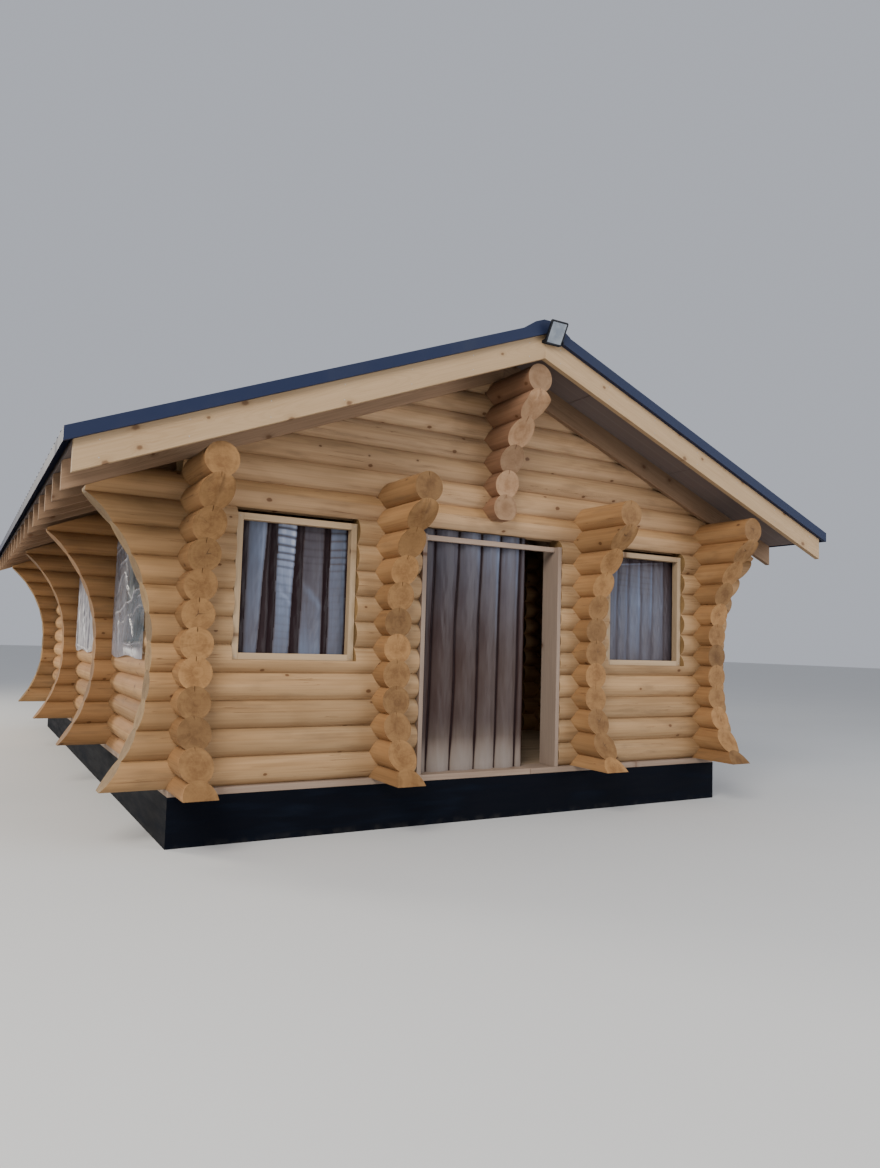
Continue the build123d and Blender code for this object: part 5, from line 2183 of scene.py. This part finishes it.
@dataclass(frozen=True)
class Films:
    """Every film of the bathhouse."""

    marks: Repeater
    door: Point = (-0.6944, -4.2450, 2.4894)
    front_left: Point = (-2.29, -4.2247, 2.425)
    front_right: Point = (1.35, -4.2247, 2.425)
    side_x: float = 2.7403
    side_head: float = 2.431
    side_size: Pair = (1.6, 1.151)
    bays: Pair = (-3.215, -0.385)
    staple_x: float = 2.7409
    staple_inset: float = 0.02
    staple: Point = (0.0008, 0.006, 0.0013)
    stapled: range = range(6, 11)

    def build_front(self) -> None:
        """Builds the gathered film in the doorway and the films behind the front window frames."""
        way = {"across": (1, 0, 0), "out": (0, -1, 0)}
        Film(
            "door_gathered_film", "door_film", self.door, size=(1.1114, 2.0788), flat=(1.5, 2.1),
            finish=DOOR_FILM.make(), rests_on="door_jambs_and_batten", panels=DOOR_PLEATS, creases=DOOR_BAND, seed=5,
            held="gathered", fold_dark=0.7, sway=0.0035, grid=(240, 150), **way,
        ).build()
        finish = WINDOW_FILM.make()
        # dark is the painted shade in each film's folds, soft the width of that shade
        for side, corner, pleats, folds, dark, soft, seed in (
            ("left", self.front_left, LEFT_PLEATS, LEFT_SLACK, 0.22, 0.008, 8),
            ("right", self.front_right, RIGHT_PLEATS, RIGHT_HEAD_SHADOW_BANDS, 0.1, 0.016, 9),
        ):
            Film(
                f"front_{side}_window_film", f"front_{side}_film", corner, size=(0.94, 1.0597), flat=(1.05, 1.06),
                finish=finish, rests_on="front_window_battens", panels=pleats, creases=folds, seed=seed,
                fold_dark=dark, fold_width=soft, sway=0.004, **way,
            ).build()

    def build_sides(self) -> None:
        """Builds the films hung over the side windows, with their staples."""
        finish, zinc = SIDE_FILM.make(), ZINC.make()
        look = {"over": True, "fold_width": 0.014, "sway": 0.014, "ripple": 0.002, "bend": 0.022, "edge": 0.07}
        look.update(ragged=0.022, grid=(230, 165), across=(0, 1, 0), size=self.side_size, flat=(1.65, 1.2))
        bays = zip((1, 2), self.bays, (TEAL_PLEATS, MILKY_PLEATS), (TEAL_CREASES, MILKY_CREASES))
        staples = []
        for (side, wall), (bay, start, pleats, folds) in product(SIDES, bays):
            Film(
                f"{wall}_window_film_{bay}", f"{wall}_film_{bay}", (side * self.side_x, start, self.side_head),
                out=(side, 0, 0), finish=finish, rests_on=f"{wall}_wall_round_logs", panels=pleats, creases=folds,
                seed=20 + bay, fold_dark=0.12 * bay, **look,
            ).build()
            ends = (start + self.staple_inset, start + self.side_size[0] - self.staple_inset)
            turn = (0.0, side * math.pi / 2, 0.0)
            heights = [HOUSE.side_z(number) for number in self.stapled]
            staples.extend(((side * self.staple_x, y, z), turn) for z in heights for y in ends)
        pile = BoardPile(99)
        x, y, z = self.staple
        pile.block((-x, -y, 0.0), (x, y, z), (0, 1, 0), 0.0003)
        self.marks.piece("side_film_staples", pile.mesh("staple", toned=False), zinc, "roof_metal", spots=staples)

    def build(self) -> None:
        """Builds all the films."""
        self.build_front()
        self.build_sides()


# Floodlight


@dataclass
class Floodlight:
    """Dresses the floodlight and adds its fins, bolts and screws."""

    rows: Repeater
    marks: Repeater
    front: Point = (0.049, -5.0964, 4.0820)
    tilt: float = math.radians(30.0)
    width: float = 0.168
    height: float = 0.197
    depth: float = 0.020
    fin_count: int = 11
    fin_pitch: float = 0.0128
    fin_thickness: float = 0.0022
    fin_depth: float = 0.011
    fin_slant: float = 0.008
    fin_sink: float = 0.0005
    fin_span: Pair = (-0.012, 0.086)
    rim: float = 0.0095
    hinge_bolt: Pair = (0.0883, -5.064)
    foot_bolt: Pair = (0.045, -5.0093)
    bolt_z: float = 4.0214

    def placed(self, across: float, up: float, out: float) -> Point:
        """A point of the lamp.

        Args:
            across: to the right of its middle.
            up: up its face.
            out: in front of its face.

        Returns:
            The point in the row's frame.
        """
        x, y, z = self.front
        sine, cosine = math.sin(self.tilt), math.cos(self.tilt)
        return x + across, y - up * sine - out * cosine, z + up * cosine - out * sine

    def build(self) -> None:
        """Builds the details."""
        body = LAMP_BODY.make()
        dress(["floodlight_body", "floodlight_bracket"], body)
        dress(["floodlight_glass"], LampGlassFinish().make())
        low, high = self.fin_span
        back = -self.depth + self.fin_sink
        pile = BoardPile(101)
        first = -self.fin_pitch * (self.fin_count - 1) / 2 - self.fin_thickness / 2
        tip, slant = back - self.fin_depth, self.fin_slant
        section = ((low, back), (high, back), (high - slant, tip), (low + slant, tip))
        corners = [self.placed(first, up, out) for up, out in section]
        pile.add(corners, (self.fin_thickness, 0, 0), (0, 0, 1), 0.0004)
        row = {"Count": self.fin_count, "Start": (0.0, 0.0, 0.0), "Step": (self.fin_pitch, 0.0, 0.0)}
        self.rows.piece("floodlight_fins", pile.mesh("fin", toned=False), body, "lamp_body", **row)
        facing = (math.pi / 2 + self.tilt, 0.0, 0.0)
        across, up = self.width / 2 - self.rim, self.height / 2 - self.rim
        rim = [(self.placed(a * across, b * up, 0.0), facing) for a in (-1, 1) for b in (-1, 1)]
        x = self.front[0]
        (hinge, hinge_y), (foot, foot_y), z = self.hinge_bolt, self.foot_bolt, self.bolt_z
        bolts = [((x + side * hinge, hinge_y, z), (0.0, side * math.pi / 2, 0.0)) for side in (-1, 1)]
        bolts += [((x + side * foot, foot_y, z), FACING_FRONT) for side in (-1, 1)]
        for name, sizes, places in (
            ("floodlight_rim_screws", RIM_SCREW, rim),
            ("floodlight_bolts", BOLT, bolts),
        ):
            self.marks.piece(name, screw_shape(*sizes), body, "lamp_body", spots=places)


# Studio


@dataclass
class Studio:
    """The floor, the lights and the camera."""

    camera_place: Point = (-4.0989, -10.4798, 1.5044)
    yaw: float = 0.5225
    pitch: float = 0.0706
    roll: float = -0.0284
    focal: float = 835.83
    frame_height: int = 1168
    sensor: float = 36.0
    floor_reach: float = 90.0
    sky: Colour = (0.86, 0.9, 1.0)
    sky_strength: float = 0.56

    def add_floor(self) -> None:
        """Adds the pale floor."""
        mesh = bpy.data.meshes.new("floor")
        far = self.floor_reach
        mesh.from_pydata([(-far, -far, 0), (far, -far, 0), (far, far, 0), (-far, far, 0)], [], [(0, 1, 2, 3)])
        mesh.materials.append(FloorFinish().make())
        put_in_scene("studio_floor", mesh)

    def add_light(self, name: str, place: Point, target: Point, size: float, power: float, colour: Colour) -> None:
        """Adds one soft light.

        Args:
            name: its name.
            place: where it hangs.
            target: what it faces.
            size: the side of its square.
            power: its watts.
            colour: its colour.
        """
        data = bpy.data.lights.new(name, "AREA")
        data.shape, data.size, data.energy, data.color = "SQUARE", size, power, colour
        lamp = put_in_scene(name, data)
        lamp.location = place
        lamp.rotation_mode = "QUATERNION"
        lamp.rotation_quaternion = (Vector(target) - Vector(place)).to_track_quat("-Z", "Y")

    def add_world(self) -> None:
        """Adds the even light from all round."""
        world = bpy.data.worlds.new("studio")
        world.use_nodes = True
        back = world.node_tree.nodes["Background"]
        back.inputs["Color"].default_value = (*self.sky, 1.0)
        back.inputs["Strength"].default_value = self.sky_strength
        bpy.context.scene.world = world

    def add_camera(self) -> None:
        """Adds the camera where the photograph was taken from."""
        flat, rise = math.cos(self.pitch), math.sin(self.pitch)
        ahead = Vector((math.sin(self.yaw) * flat, math.cos(self.yaw) * flat, rise))
        level = Vector((math.cos(self.yaw), -math.sin(self.yaw), 0.0))
        down = ahead.cross(level)
        right = math.cos(self.roll) * level + math.sin(self.roll) * down
        below = -math.sin(self.roll) * level + math.cos(self.roll) * down
        data = bpy.data.cameras.new("camera")
        data.sensor_width, data.sensor_fit, data.clip_end = self.sensor, "AUTO", 400.0
        data.lens = self.focal / self.frame_height * self.sensor
        camera = put_in_scene("camera", data)
        axes = Matrix((right, -below, -ahead)).transposed()
        camera.matrix_world = Matrix.Translation(self.camera_place) @ axes.to_4x4()
        bpy.context.scene.camera = camera

    def build(self) -> None:
        """Builds the studio."""
        self.add_floor()
        self.add_world()
        self.add_light("key", (-9.0, -13.0, 9.5), (-0.5, -3.5, 1.5), 7.0, 1900.0, (1.0, 0.96, 0.9))
        self.add_light("fill", (9.0, -14.0, 6.0), (0.5, -3.5, 1.8), 9.0, 760.0, (0.88, 0.94, 1.0))
        self.add_light("bounce", (5.5, -13.0, 0.9), (0.9, -4.6, 3.2), 5.0, 320.0, (1.0, 0.94, 0.95))
        self.add_light("side", (-11.5, 8.0, 5.6), (-2.7, -1.5, 1.2), 4.0, 1500.0, (1.0, 0.93, 0.8))
        self.add_camera()


def main() -> None:
    """Builds every part of the bathhouse in order."""
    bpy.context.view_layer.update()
    Studio().build()
    Walls(WALL_LOG.make(), STACK_LOG_WARM_SHADE.make(), GABLE_LOG.make(), RIDGE_LOG_SHADED.make()).build()
    rows, marks = Repeater(Spread.LINE), Repeater(Spread.PLACES)
    Base(rows).build()
    Roof(rows, marks).build()
    Joinery(marks).build()
    Films(marks).build()
    Floodlight(rows, marks).build()


if __name__ == "__main__":
    main()
